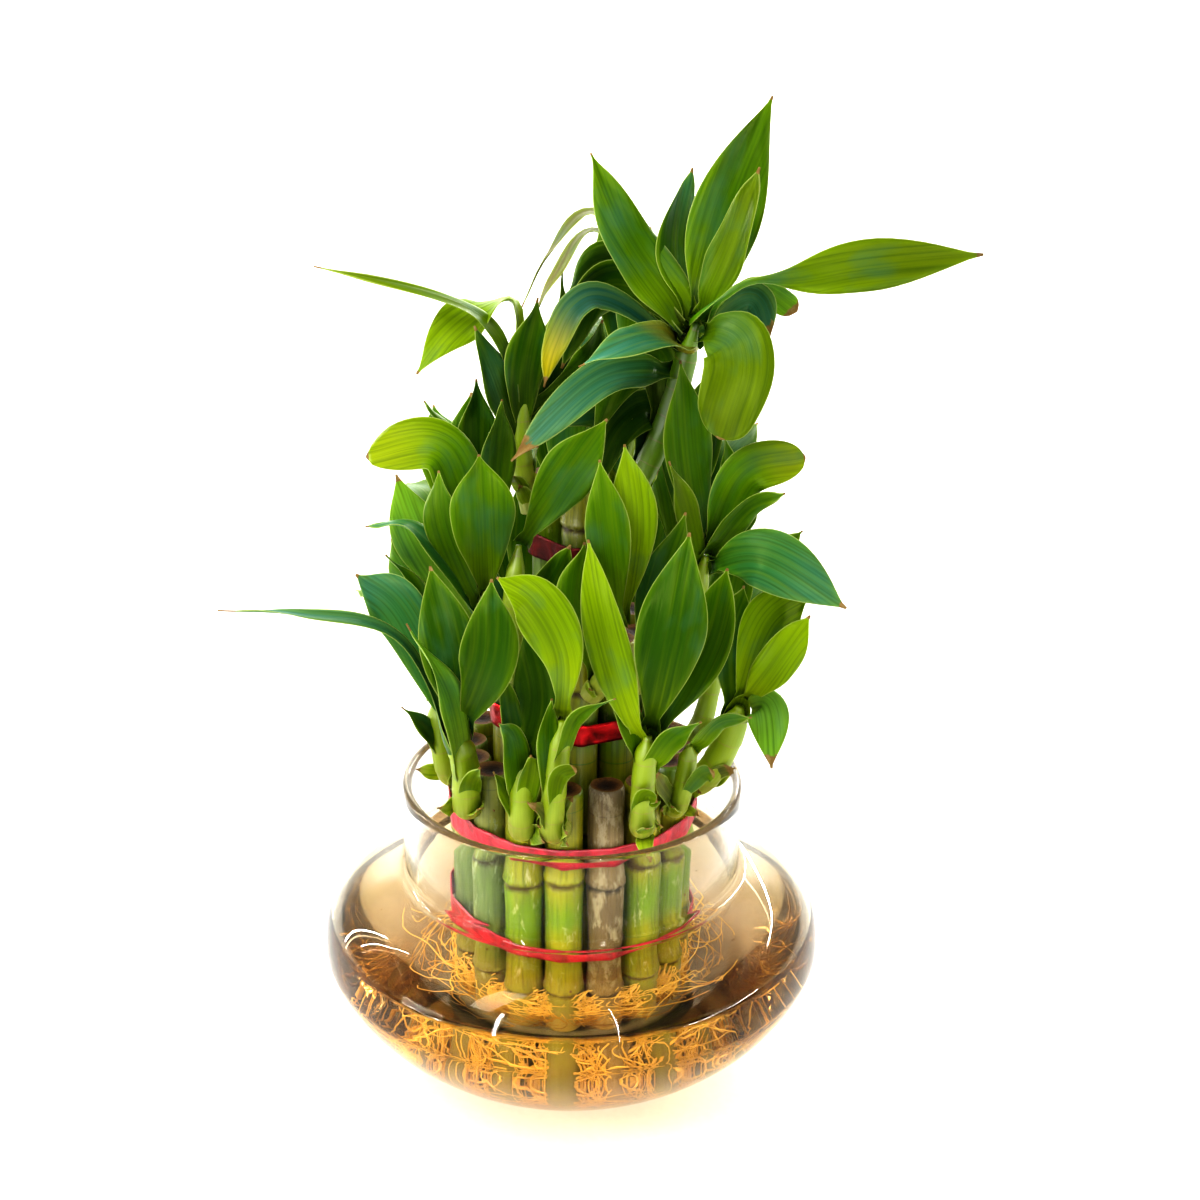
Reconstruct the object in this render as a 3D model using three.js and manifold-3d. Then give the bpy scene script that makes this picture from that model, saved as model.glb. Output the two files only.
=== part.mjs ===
// Lucky bamboo in its glass bowl: three tiers of tied canes standing in shallow water.
// Millimetres, +Z up. The origin is the middle of the bowl's flat foot. The show side faces -Y.
import * as THREE from 'three';
import { mergeVertices } from 'three/addons/utils/BufferGeometryUtils.js';
import Module from 'manifold-3d';

// Bowl: a squat belly on a flat foot, with an upright collar
const FOOT_R = 34;
const BELLY_R = 80;
const BELLY_Z = 40.6;
const JOINT_Z = 66;
const COLLAR_R = 53.8;
const RIM_Z = 97;
const WALL = 2.8;
const FLOOR_Z = 6;
const FLOOR_R = 39.5;
const LOWER_POWER = 1.47;
const UPPER_POWER = 2.2;
const BOWL_SIDES = 32;
const WALL_STEPS = 4;

// Water: it follows the wall from one wall step to another, and leaves room for canes and roots
const WATER_GAP = 0.5;
const WATER_FROM = 2;
const WATER_TO = 5;
const BUNDLE_R = 39.3;
const ROOT_SPACE_Z = 25;

// Canes: each tier is one ring of straight cuttings of one length
const GAP = 0.3;
const CANE_SIDES = 8;
const WAIST = 0.3;
const UNEVEN_TOP = 1.2;
const UNEVEN_STEP = 2.4;
const TIERS = {
  lower: { count: 16, ring: 32.5, radius: 6.1, top: 109, turn: -4, knots: [31, 79], shootsFrom: 98.5 },
  middle: { count: 10, ring: 20, radius: 6, top: 150, turn: 6, knots: [137], shootsFrom: 137 },
  top: { count: 3, ring: 7.3, radius: 6, top: 199, turn: 16, knots: [184], shootsFrom: 186 },
};

// Ribbons: flat satin bands tied round a tier
const RIBBON_THICK = 0.7;
const RIBBON_GAP = 0.4;
const RIBBON_BEND = 24;
const RIBBONS = [
  { name: 'ribbon_lower_low', tier: 'lower', from: 51, to: 58.5 },
  { name: 'ribbon_lower_high', tier: 'lower', from: 85, to: 93 },
  { name: 'ribbon_middle', tier: 'middle', from: 120, to: 128 },
  { name: 'ribbon_top', tier: 'top', from: 172, to: 180 },
];

// Leafy shoots
const STEM_SIDES = 5;
const STEM_STEPS = 4;
const BLADE_THICK = 0.8;
const LONG_BLADE = [0, 0.22, 0.46, 0.76, 1];
const SHORT_BLADE = [0, 0.35, 0.7, 1];
const SHORT_WIDTH = 12;
const NECK_SHARE = 0.24;
const TIP_WIDTH = 0.9;
const FOLD = 17;
// Leaf outlines: where the leaf is widest, how late it widens, and how much width the tip keeps
const SHAPES = {
  pointed: { widest: 0.44, rise: 1.5, tipShare: 0 },
  blunt: { widest: 0.44, rise: 1.5, tipShare: 0.45 },
  late: { widest: 0.74, rise: 3, tipShare: 0 },
};
const TIP_POWER = 1.15;
const TWIST_FROM = 0.3;
const TWIST_TO = 0.7;
const ROOT_SHARE = 0.55;
const FRONT = new THREE.Vector3(0, -0.88, 0.47);
const UP = new THREE.Vector3(0, 0, 1);

// Each leaf row: place on the stem (0 to 1), full width, turn of its face from the front,
// the points that its midrib passes, then its twist and shape where it has them.
const FRONT_SHOOTS = [
  {
    name: 'shoot_top_right', tier: 'top', cane: 0, radius: [4.2, 3.4],
    stem: [[17, -5, 194], [27, -2, 215], [35, 0, 244]],
    leaves: [
      [0.97, 17, 8, [[15, 6, 267], [4, 14, 290]]],
      [0.97, 18, 30, [[30, 12, 264], [34, 25, 284]]],
      [0.99, 21, 5, [[43.4, 8, 275], [56, 18, 306]]],
      [0.99, 14, -35, [[44, -6, 268], [51, -6, 290]]],
      [0.98, 15, 68, [[46, -15, 259], [62, -20, 262.5], [82, -18, 265.5], [115, -8, 266.5]], -65, 'late'],
      [0.97, 19, 0, [[46, -22, 250], [44, -34, 235], [37, -36, 218]]],
      [0.93, 17, 40, [[19, -22, 245], [1, -30, 239]]],
      [0.85, 16, 20, [[7, -16, 231], [-18, -26, 210]]],
      [0.95, 16, -30, [[16, 12, 252], [4, 8, 249], [-4, 0, 230]]],
      [0.99, 7, 60, [[7, 30, 269], [-8, 30, 257], [-17, 26, 240]]],
      [0.95, 7, 60, [[7, 20, 266], [-6, 18, 253], [-14, 12, 238]]],
      [0.93, 14, 30, [[11, 26, 255], [-3, 24, 245]]],
      [0.97, 11, 55, [[53, 14, 250], [66, 18, 243]], 0, 'blunt'],
      [0.93, 13, 30, [[51, 10, 248], [57, 8, 235]]],
    ],
  },
  {
    name: 'shoot_top_left', tier: 'top', cane: 2, radius: [3.8, 2.8],
    stem: [[-15, 1, 196], [-16, 2, 208], [-16, 4, 228]],
    leaves: [
      [0.9, 7, 60, [[-24, -2, 242], [-39, -4, 252], [-73, 0, 259]]],
      [0.98, 15, 65, [[-18, 8, 247], [-28, 4, 246], [-37, 0, 240], [-46, -4, 229]], -65],
      [0.6, 14, 25, [[-15, 0, 229], [-11, 4, 250]]],
      [0.7, 13, 40, [[-7, 8, 223], [-6, 12, 245]]],
      [0.9, 10, 30, [[-5, 16, 237], [-4, 20, 254]]],
      [0.8, 12, 30, [[3, 10, 227], [8, 14, 241]]],
      [0.5, 12, 30, [[-22, -4, 225], [-29, -6, 244]]],
      [0.7, 13, 10, [[8, 10, 214], [14, 5, 193]]],
    ],
  },
  {
    name: 'shoot_middle_left', tier: 'middle', cane: 8, radius: [4.2, 3],
    stem: [[-26, -12, 141], [-26, -16, 152], [-26, -18, 167]],
    leaves: [
      [0.9, 19, 0, [[-26, -31, 194], [-27, -29, 213]]],
      [0.95, 17, 15, [[-33, -14, 198], [-41, -12, 210], [-61, -8, 205]], 0, 'blunt'],
      [0.98, 9, 40, [[-36, -6, 207], [-44, -4, 221]]],
      [0.98, 14, 30, [[-29, -2, 202], [-29, 2, 226]]],
      [0.85, 12, 40, [[-23, -13, 205], [-21, -12, 224]]],
      [0.6, 16, -20, [[-44, -14, 180], [-52, -12, 201]]],
      [0.8, 9, 50, [[-46, -24, 188], [-60, -26, 190]]],
      [0.75, 12, -20, [[-37, -22, 188], [-39, -20, 205]]],
    ],
  },
  {
    name: 'shoot_middle_front_left', tier: 'middle', cane: 9, radius: [3.6, 2.6],
    stem: [[-17, -24, 143], [-18, -24, 164], [-16, -22, 183]],
    leaves: [
      [0.98, 16, 10, [[-3, -27, 205], [9, -30, 224]]],
      [0.6, 13, 30, [[-8, -26, 171], [-1, -24, 184]]],
    ],
  },
  {
    name: 'shoot_middle_front', tier: 'middle', cane: 0, radius: [3.6, 2.8],
    stem: [[9, -28, 143], [12, -29, 152], [14, -29, 161]],
    leaves: [
      [0.95, 14, 10, [[17, -32, 192], [14, -28, 216]]],
      [0.9, 13, -15, [[10, -36, 190], [7, -33, 213]]],
      [0.2, 14, 25, [[1, -31, 166], [3, -27, 186]]],
    ],
  },
  {
    name: 'shoot_middle_right', tier: 'middle', cane: 1, radius: [4, 3],
    stem: [[27, -18, 143], [34, -16, 157], [39, -14, 177]],
    leaves: [
      [0.97, 15, 10, [[33, -14, 207], [30, -12, 236]]],
      [0.9, 8, 30, [[32, -20, 195], [27, -22, 209]]],
      [0.99, 14, 15, [[49, -16, 203], [67, -14, 208]], 0, 'blunt'],
      [0.97, 9, 40, [[50, -20, 194], [61, -20, 199]]],
      [0.95, 19, 0, [[55, -26, 181], [79, -32, 168]]],
      [0.93, 9, 50, [[60, -10, 178], [68, -8, 183]]],
      [0.99, 8, 40, [[45, -8, 199], [44, -6, 212]]],
      [0.99, 8, 30, [[50, -10, 187], [52, -10, 193]]],
    ],
  },
  {
    name: 'shoot_lower_left', tier: 'lower', cane: 13, radius: [4.6, 4.2],
    stem: [[-32, -26, 100], [-32, -30, 114], [-34, -33, 127]],
    leaves: [
      [0.6, 10, 50, [[-36, -44, 146], [-47, -48, 169]]],
      [0.95, 18, 0, [[-35, -40, 156], [-41, -34, 181]]],
      [0.95, 17, 0, [[-24, -48, 158], [-23, -46, 182]]],
      [0.2, 7, 20, [[-30, -38, 114], [-27, -42, 121]]],
      [0.8, 17, -10, [[-49, -30, 163], [-63, -28, 176]]],
      [0.75, 12, 60, [[-50, -38, 160], [-78, -42, 169], [-101, -44, 171]]],
      [0.9, 6, 40, [[-44, -22, 165], [-55, -20, 179]]],
    ],
  },
  {
    name: 'shoot_lower_far_left', tier: 'lower', cane: 12, radius: [4, 3.2],
    stem: [[-39, -4, 100], [-41, -8, 113], [-42, -8, 127]],
    leaves: [
      [0.95, 14, 20, [[-46, -10, 148], [-49, -8, 163]]],
      [0.6, 8, 40, [[-45, -14, 120], [-52, -16, 128]]],
    ],
  },
  {
    name: 'shoot_lower_front_left', tier: 'lower', cane: 15, radius: [4.2, 3.6],
    stem: [[-15, -39, 100], [-15, -42, 114], [-14, -43, 126]],
    leaves: [
      [0.15, 6, 30, [[-20, -45, 115], [-23, -47, 122]]],
      [0.5, 9, 20, [[-17, -50, 133], [-21, -54, 141]]],
      [0.4, 7, 20, [[-12, -48, 123], [-12, -50, 129]]],
      [0.9, 15, 10, [[-10, -40, 142], [-14, -37, 163]]],
      [0.8, 10, 30, [[-18, -43, 138], [-20, -40, 150]]],
    ],
  },
  {
    name: 'shoot_lower_front', tier: 'lower', cane: 0, radius: [4, 3.4],
    stem: [[-6, -42, 101], [-5, -45, 118], [-3, -48, 139]],
    leaves: [
      [0.97, 16, 0, [[-3, -56, 163], [-11, -60, 181], [-21, -60, 188]]],
      [0.4, 6, 30, [[-4, -52, 123], [1, -54, 127]], 0, 'blunt'],
      [0.2, 6, 30, [[-9, -47, 109], [-13, -49, 113]]],
      [0.7, 7, 50, [[1, -54, 143], [12, -56, 150]]],
      [0.5, 8, 30, [[-7, -49, 135], [-6, -50, 147]]],
    ],
  },
  {
    name: 'shoot_lower_front_right', tier: 'lower', cane: 2, radius: [4, 3.4],
    stem: [[21, -38, 100], [21, -40, 116], [22, -41, 131]],
    leaves: [
      [0.85, 14, -30, [[14, -47, 148], [8, -46, 171], [4, -38, 191]]],
      [0.98, 20, 0, [[27, -52, 166], [32, -48, 197]]],
      [0.9, 17, -20, [[38, -38, 157], [44, -34, 181]]],
      [0.7, 9, 35, [[29, -46, 133], [37, -48, 139]]],
      [0.1, 9, 20, [[22, -44, 112], [25, -46, 112]]],
      [0.95, 15, 20, [[25, -27, 168], [32, -26, 195]]],
      [0.8, 9, 20, [[14, -42, 143], [10, -42, 157]]],
    ],
  },
  {
    name: 'shoot_lower_right', tier: 'lower', cane: 3, radius: [3.6, 2.8],
    stem: [[32, -26, 100], [34, -28, 111], [35, -29, 122]],
    leaves: [
      [0.4, 6, 30, [[38, -34, 114], [42, -36, 117]], 0, 'blunt'],
      [0.3, 6, 30, [[27, -34, 111], [24, -36, 118]]],
      [0.9, 8, 40, [[43, -32, 131], [53, -32, 133]]],
    ],
  },
  {
    name: 'shoot_lower_far_right', tier: 'lower', cane: 4, radius: [4.8, 4.2],
    stem: [[41, -9, 101], [47, -13, 114], [51, -14, 128]],
    leaves: [
      [0.97, 13, 0, [[58, -22, 131], [60, -28, 114]]],
      [0.85, 17, 0, [[58, -16, 155], [70, -18, 167]]],
      [0.95, 14, 15, [[60, -24, 147], [69, -28, 164]]],
      [0.8, 13, 20, [[47, -12, 149], [51, -10, 166]]],
      [0.25, 6, 40, [[46, -16, 107], [50, -18, 109]]],
    ],
  },
];

// The shoots round the back are alike, and follow a rule: each leans out from its cane and
// fans its leaves to both sides, the first ones steep and the later ones flatter and drooping.
// Heading counts from the front of the tier towards +X, in degrees.
const BACK_SHOOTS = [
  { name: 'shoot_top_back', tier: 'top', cane: 1, heading: 178, reach: 12, rise: 30, length: 56 },
  { name: 'shoot_middle_back_right', tier: 'middle', cane: 3, heading: 170, reach: 12, rise: 36, length: 58 },
  { name: 'shoot_middle_back', tier: 'middle', cane: 5, heading: 186, reach: 13, rise: 34, length: 60 },
  { name: 'shoot_middle_back_left', tier: 'middle', cane: 7, heading: 182, reach: 10, rise: 34, length: 48 },
  { name: 'shoot_lower_back_1', tier: 'lower', cane: 5, heading: 160, reach: 9, rise: 30, length: 48 },
  { name: 'shoot_lower_back_2', tier: 'lower', cane: 7, heading: 172, reach: 10, rise: 26, length: 56 },
  { name: 'shoot_lower_back_3', tier: 'lower', cane: 9, heading: 186, reach: 10, rise: 28, length: 56 },
  { name: 'shoot_lower_back_4', tier: 'lower', cane: 11, heading: 196, reach: 9, rise: 30, length: 44 },
];
const BACK_RADIUS = [4, 3];
const BACK_LEAVES = 4;
const BACK_FAN = 24;
const BACK_STEEP = 76;
const BACK_STEP = 11;
const BACK_DROOP = 30;
const BACK_WIDTH = 17;
const BACK_LEAN = 0.4;
const BACK_FIRST = 0.99;
const BACK_SPACING = 0.07;

// Roots: a mat round the feet of the canes, with loose ends
const ROOT_MAT = [[39.3, 7.2], [43, 8.2], [46, 12], [44, 18], [39.3, 20]];
const ROOT_MAT_SIDES = 24;
const ROOT_COUNT = 20;
const ROOT_R = 0.9;
const ROOT_PATH = [[42, 12], [46, 18], [50.5, 17.5], [54.5, 17]];
const ROOT_SWING = 0.25;

const leafGreen = new THREE.MeshStandardMaterial({ color: '#4a8f1c', roughness: 0.45, metalness: 0 });
const caneGreen = new THREE.MeshStandardMaterial({ color: '#8a9a34', roughness: 0.5, metalness: 0 });
const woodGrey = new THREE.MeshStandardMaterial({ color: '#7a6a55', roughness: 0.8, metalness: 0 });
const redSatin = new THREE.MeshStandardMaterial({ color: '#b5141f', roughness: 0.35, metalness: 0 });
const rootTan = new THREE.MeshStandardMaterial({ color: '#b8702a', roughness: 0.8, metalness: 0 });
const clearGlass = new THREE.MeshStandardMaterial({
  color: '#e3d6ba', roughness: 0.05, metalness: 0, transparent: true, opacity: 0.35,
});
const clearWater = new THREE.MeshStandardMaterial({
  color: '#b98f56', roughness: 0.05, metalness: 0, transparent: true, opacity: 0.45,
});

const wasm = await Module();
wasm.setup();
const group = new THREE.Group();

function addMesh(name, geometry, material) {
  const mesh = new THREE.Mesh(geometry, material);
  mesh.name = name;
  group.add(mesh);
  return mesh;
}

function radians(degrees) {
  return THREE.MathUtils.degToRad(degrees);
}

// A closed three.js geometry as a solid that can be joined and cut.
function toSolid(geometry) {
  const bare = geometry.clone();
  bare.deleteAttribute('normal');
  bare.deleteAttribute('uv');
  const merged = mergeVertices(bare, 1e-4);
  return new wasm.Manifold(new wasm.Mesh({
    numProp: 3,
    vertProperties: new Float32Array(merged.attributes.position.array),
    triVerts: new Uint32Array(merged.index.array),
  }));
}

// A solid back as a geometry, keeping its largest piece where a cut left a loose scrap.
function toGeometry(solid) {
  const pieces = solid.decompose().sort((a, b) => b.volume() - a.volume());
  const mesh = pieces[0].getMesh();
  const geometry = new THREE.BufferGeometry();
  geometry.setAttribute('position', new THREE.BufferAttribute(new Float32Array(mesh.vertProperties), 3));
  geometry.setIndex(new THREE.BufferAttribute(new Uint32Array(mesh.triVerts), 1));
  geometry.computeVertexNormals();
  return geometry;
}

// A round body about the upright axis from its outline.
function turned(profile, sides) {
  return new THREE.LatheGeometry(profile, sides).rotateX(Math.PI / 2);
}

// A mesh from points and corner numbers.
function fromPoints(points, index) {
  const geometry = new THREE.BufferGeometry().setFromPoints(points);
  geometry.setIndex(index);
  geometry.computeVertexNormals();
  return geometry;
}

// A closed skin over a row of rings that have the same number of points.
function loft(rings) {
  const n = rings[0].length;
  const index = [];
  for (let i = 0; i < rings.length - 1; i++) {
    for (let j = 0; j < n; j++) {
      const a = i * n + j;
      const b = i * n + (j + 1) % n;
      index.push(a, b, b + n, a, b + n, a + n);
    }
  }
  const last = (rings.length - 1) * n;
  for (let j = 1; j < n - 1; j++) {
    index.push(0, j + 1, j, last, last + j, last + j + 1);
  }
  return fromPoints(rings.flat(), index);
}

// Half of the belly's outline, from the floor to the widest line or from there to the joint.
function lowerWall(t, inset, footR, floor) {
  const out = Math.sin(t) ** (2 / LOWER_POWER);
  const up = 1 - Math.cos(t) ** (2 / LOWER_POWER);
  return new THREE.Vector2(footR + (BELLY_R - inset - footR) * out, floor + (BELLY_Z - floor) * up);
}

function upperWall(t, inset) {
  const out = Math.cos(t) ** (2 / UPPER_POWER);
  const up = Math.sin(t) ** (2 / UPPER_POWER);
  const neck = COLLAR_R - inset;
  return new THREE.Vector2(neck + (BELLY_R - COLLAR_R) * out, BELLY_Z + (JOINT_Z - inset - BELLY_Z) * up);
}

function sweep(curve, steps, end = Math.PI / 2) {
  return Array.from({ length: steps + 1 }, (_, i) => curve(end * i / steps));
}

// The belly's outline from the foot to the joint.
function bellyOutline(inset, footR, floor) {
  return [
    ...sweep((t) => lowerWall(t, inset, footR, floor), WALL_STEPS),
    ...sweep((t) => upperWall(t, inset), WALL_STEPS).slice(1),
  ];
}

function makeBowl() {
  const lip = WALL / 2;
  const rim = sweep((t) => new THREE.Vector2(
    COLLAR_R - lip + lip * Math.cos(t),
    RIM_Z - lip + lip * Math.sin(t),
  ), 4, Math.PI);
  const profile = [
    new THREE.Vector2(0, 0),
    ...bellyOutline(0, FOOT_R, 0),
    ...rim,
    ...bellyOutline(WALL, FLOOR_R, FLOOR_Z).reverse(),
    new THREE.Vector2(0, FLOOR_Z),
  ];
  addMesh('bowl', turned(profile, BOWL_SIDES), clearGlass);
}

// The water fills the belly round the canes, with a wider space low down for the roots.
function makeWater() {
  const outline = bellyOutline(WALL + WATER_GAP, FLOOR_R, FLOOR_Z + WATER_GAP);
  const wall = outline.slice(WATER_FROM, WATER_TO + 1);
  const space = [
    new THREE.Vector2(BUNDLE_R, wall.at(-1).y),
    new THREE.Vector2(BUNDLE_R, ROOT_SPACE_Z),
    new THREE.Vector2(wall[0].x, ROOT_SPACE_Z),
  ];
  addMesh('water', turned([...wall, ...space, wall[0]], BOWL_SIDES), clearWater);
}

// The middle of a cane, counted from the front of its tier towards +X.
function caneCentre(tier, number) {
  const angle = radians(tier.turn + 360 / tier.count * number);
  return new THREE.Vector3(tier.ring * Math.sin(angle), -tier.ring * Math.cos(angle), 0);
}

// The canes of a tier are cut to nearly one length.
function caneTop(tier, number) {
  return tier.top + UNEVEN_TOP * Math.sin(number * UNEVEN_STEP);
}

// A cane is thickest at its knots and slightly waisted between them.
function caneGeometry(tier, number, extra = 0) {
  const bottom = FLOOR_Z + GAP;
  const top = caneTop(tier, number);
  const heights = [bottom];
  const radii = [tier.radius - WAIST];
  tier.knots.forEach((knot, i) => {
    const next = tier.knots[i + 1] ?? top;
    heights.push(knot, (knot + next) / 2);
    radii.push(tier.radius, tier.radius - WAIST);
  });
  heights[heights.length - 1] = top;
  const profile = heights.map((z, i) => new THREE.Vector2(radii[i] + extra, z));
  profile.unshift(new THREE.Vector2(0, bottom));
  profile.push(new THREE.Vector2(0, top));
  const centre = caneCentre(tier, number);
  return turned(profile, CANE_SIDES).translate(centre.x, centre.y, 0);
}

function makeCanes() {
  for (const [tierName, tier] of Object.entries(TIERS)) {
    for (let number = 0; number < tier.count; number++) {
      const weathered = tierName === 'lower' && number === 1;
      const name = `cane_${tierName}_${number + 1}`;
      addMesh(name, caneGeometry(tier, number), weathered ? woodGrey : caneGreen);
    }
  }
}

// A ribbon lies on the outside of its tier, tight from cane to cane.
function ribbonOutline(tier, offset) {
  const points = [];
  const half = 180 / tier.count;
  const bends = Math.ceil(2 * half / RIBBON_BEND);
  for (let number = 0; number < tier.count; number++) {
    const centre = caneCentre(tier, number);
    for (let i = 0; i <= bends; i++) {
      const bend = half * (2 * i / bends - 1);
      const angle = radians(tier.turn + 360 / tier.count * number + bend);
      const reach = tier.radius + offset;
      points.push(new THREE.Vector2(centre.x + reach * Math.sin(angle), centre.y - reach * Math.cos(angle)));
    }
  }
  return points;
}

function makeRibbons() {
  for (const ribbon of RIBBONS) {
    const tier = TIERS[ribbon.tier];
    const shape = new THREE.Shape(ribbonOutline(tier, RIBBON_GAP + RIBBON_THICK));
    shape.holes.push(new THREE.Path(ribbonOutline(tier, RIBBON_GAP)));
    const options = { depth: ribbon.to - ribbon.from, bevelEnabled: false };
    const geometry = new THREE.ExtrudeGeometry(shape, options).translate(0, 0, ribbon.from);
    addMesh(ribbon.name, geometry, redSatin);
  }
}

// A round stalk along a curve, thinner towards its end.
function stalk(curve, startR, endR, sides, steps) {
  const rings = [];
  for (let i = 0; i <= steps; i++) {
    const t = i / steps;
    const along = curve.getTangent(t);
    const side = new THREE.Vector3(0, 1, 0).cross(along);
    if (side.length() < 0.3) side.set(1, 0, 0).cross(along);
    side.normalize();
    const other = along.clone().cross(side);
    const radius = startR + (endR - startR) * t;
    rings.push(Array.from({ length: sides }, (_, j) => {
      const angle = 2 * Math.PI * j / sides;
      return curve.getPoint(t)
        .addScaledVector(side, radius * Math.cos(angle))
        .addScaledVector(other, radius * Math.sin(angle));
    }));
  }
  return loft(rings);
}

// How wide a leaf is along its length, as a share of its full width.
function leafShare(s, shape) {
  if (s < shape.widest) {
    const rise = Math.sin(Math.PI / 2 * s / shape.widest) ** shape.rise;
    return NECK_SHARE + (1 - NECK_SHARE) * rise;
  }
  const q = (s - shape.widest) / (1 - shape.widest);
  if (shape.tipShare > 0) return 1 - (1 - shape.tipShare) * q ** 4;
  return Math.cos(Math.PI / 2 * q) ** TIP_POWER;
}

// A leaf blade on its midrib: a shallow fold along the rib, both faces split alike.
function blade(curve, width, faceTo, turn, twist, shapeName) {
  const shape = SHAPES[shapeName];
  const points = [];
  const steps = width < SHORT_WIDTH ? SHORT_BLADE : LONG_BLADE;
  for (const s of steps) {
    const along = curve.getTangent(s);
    const face = faceTo.clone().addScaledVector(along, -faceTo.dot(along)).normalize();
    face.applyAxisAngle(along, radians(turn + twist * THREE.MathUtils.smoothstep(s, TWIST_FROM, TWIST_TO)));
    const side = along.clone().cross(face);
    const half = Math.max(TIP_WIDTH, width * leafShare(s, shape)) / 2;
    for (const skin of [BLADE_THICK / 2, -BLADE_THICK / 2]) {
      for (const across of [-1, 0, 1]) {
        const lift = Math.abs(across) * half * Math.sin(radians(FOLD)) + skin;
        points.push(curve.getPoint(s)
          .addScaledVector(side, across * half * Math.cos(radians(FOLD)))
          .addScaledVector(face, lift));
      }
    }
  }
  return fromPoints(points, bladeIndex(steps.length));
}

// Corner numbers of a blade of so many steps, each with three top and three under points.
function bladeIndex(steps) {
  const index = [];
  for (let i = 0; i < steps - 1; i++) {
    const row = i * 6;
    const next = row + 6;
    for (const j of [0, 1]) {
      index.push(row + j, row + j + 1, next + j + 1, row + j, next + j + 1, next + j);
      index.push(row + 3 + j, next + 4 + j, row + 4 + j, row + 3 + j, next + 3 + j, next + 4 + j);
    }
    index.push(row, next, next + 3, row, next + 3, row + 3);
    index.push(row + 2, next + 5, next + 2, row + 2, row + 5, next + 5);
  }
  const last = (steps - 1) * 6;
  for (const j of [0, 1]) {
    index.push(j, j + 3, j + 4, j, j + 4, j + 1);
    index.push(last + j, last + j + 4, last + j + 3, last + j, last + j + 1, last + j + 4);
  }
  return index;
}

function curveThrough(points) {
  return new THREE.CatmullRomCurve3(points.map((p) => new THREE.Vector3(...p)), false, 'catmullrom', 0.5);
}

// Repeatable numbers from 0 to 1.
function makeRandom(seed) {
  let state = seed;
  return () => {
    state = (state * 1103515245 + 12345) % 2147483648;
    return state / 2147483648;
  };
}

// The root mat is one tangle: a close ring, and loose ends that grow out of it over the floor.
function makeRoots() {
  const random = makeRandom(5);
  const section = ROOT_MAT.map(([r, z]) => new THREE.Vector2(r, z));
  let mat = toSolid(turned([...section, section[0]], ROOT_MAT_SIDES));
  for (let i = 0; i < ROOT_COUNT; i++) {
    const angle = 2 * Math.PI * (i + 0.6 * random()) / ROOT_COUNT;
    const swing = ROOT_SWING * (2 * random() - 1);
    const lift = 2 * random();
    const curve = curveThrough(ROOT_PATH.map(([r, z], step) => {
      const turn = angle + swing * Math.sin(2 * step);
      return [r * Math.sin(turn), -r * Math.cos(turn), z + (step > 0 ? lift : 0)];
    }));
    mat = mat.add(toSolid(stalk(curve, ROOT_R, ROOT_R * 0.7, 3, 3)));
  }
  addMesh('roots', toGeometry(mat), rootTan);
}

// The canes near a shoot, a little enlarged, are cut out of it so that it sits against its cane.
function cutByCanes(solid) {
  let cut = solid;
  for (const tier of Object.values(TIERS)) {
    for (let number = 0; number < tier.count; number++) {
      cut = cut.subtract(toSolid(caneGeometry(tier, number, GAP)));
    }
  }
  return cut;
}

// The way a back leaf faces: up, and leaning in over the plant.
function upAndIn(root, tip) {
  const outward = new THREE.Vector3(tip[0] - root.x, tip[1] - root.y, 0).normalize();
  return UP.clone().addScaledVector(outward, -BACK_LEAN);
}

// A shoot leaves its cane low on the stem path and carries its leaves along that path.
function makeShoot(shoot) {
  const tier = TIERS[shoot.tier];
  const centre = caneCentre(tier, shoot.cane);
  const out = new THREE.Vector3(shoot.stem[0][0], shoot.stem[0][1], 0).sub(centre);
  const start = centre.clone().addScaledVector(out.normalize(), tier.radius - 1);
  start.setZ(tier.shootsFrom);
  const stem = curveThrough([start.toArray(), ...shoot.stem]);
  const [baseR, endR] = shoot.radius;
  let solid = toSolid(stalk(stem, baseR, endR, STEM_SIDES, STEM_STEPS));
  for (const [at, width, turn, path, twist = 0, shape = 'pointed'] of shoot.leaves) {
    const root = stem.getPoint(at);
    const towards = new THREE.Vector3(...path[0]).sub(root).setLength(endR * ROOT_SHARE);
    const midrib = curveThrough([root.clone().add(towards).toArray(), ...path]);
    const faceTo = shoot.back ? upAndIn(root, path.at(-1)) : FRONT;
    solid = solid.add(toSolid(blade(midrib, width, faceTo, turn, twist, shape)));
  }
  addMesh(shoot.name, toGeometry(cutByCanes(solid)), leafGreen);
}

// Middle and tip of a leaf that starts steep and bends over evenly along its length.
function archPath(root, heading, steep, droop, length) {
  return [0.5, 1].map((s) => {
    const first = radians(steep);
    const bend = radians(droop);
    const out = length / bend * (Math.sin(first) - Math.sin(first - bend * s));
    const up = length / bend * (Math.cos(first - bend * s) - Math.cos(first));
    return [root.x + out * Math.sin(heading), root.y - out * Math.cos(heading), root.z + up];
  });
}

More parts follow.
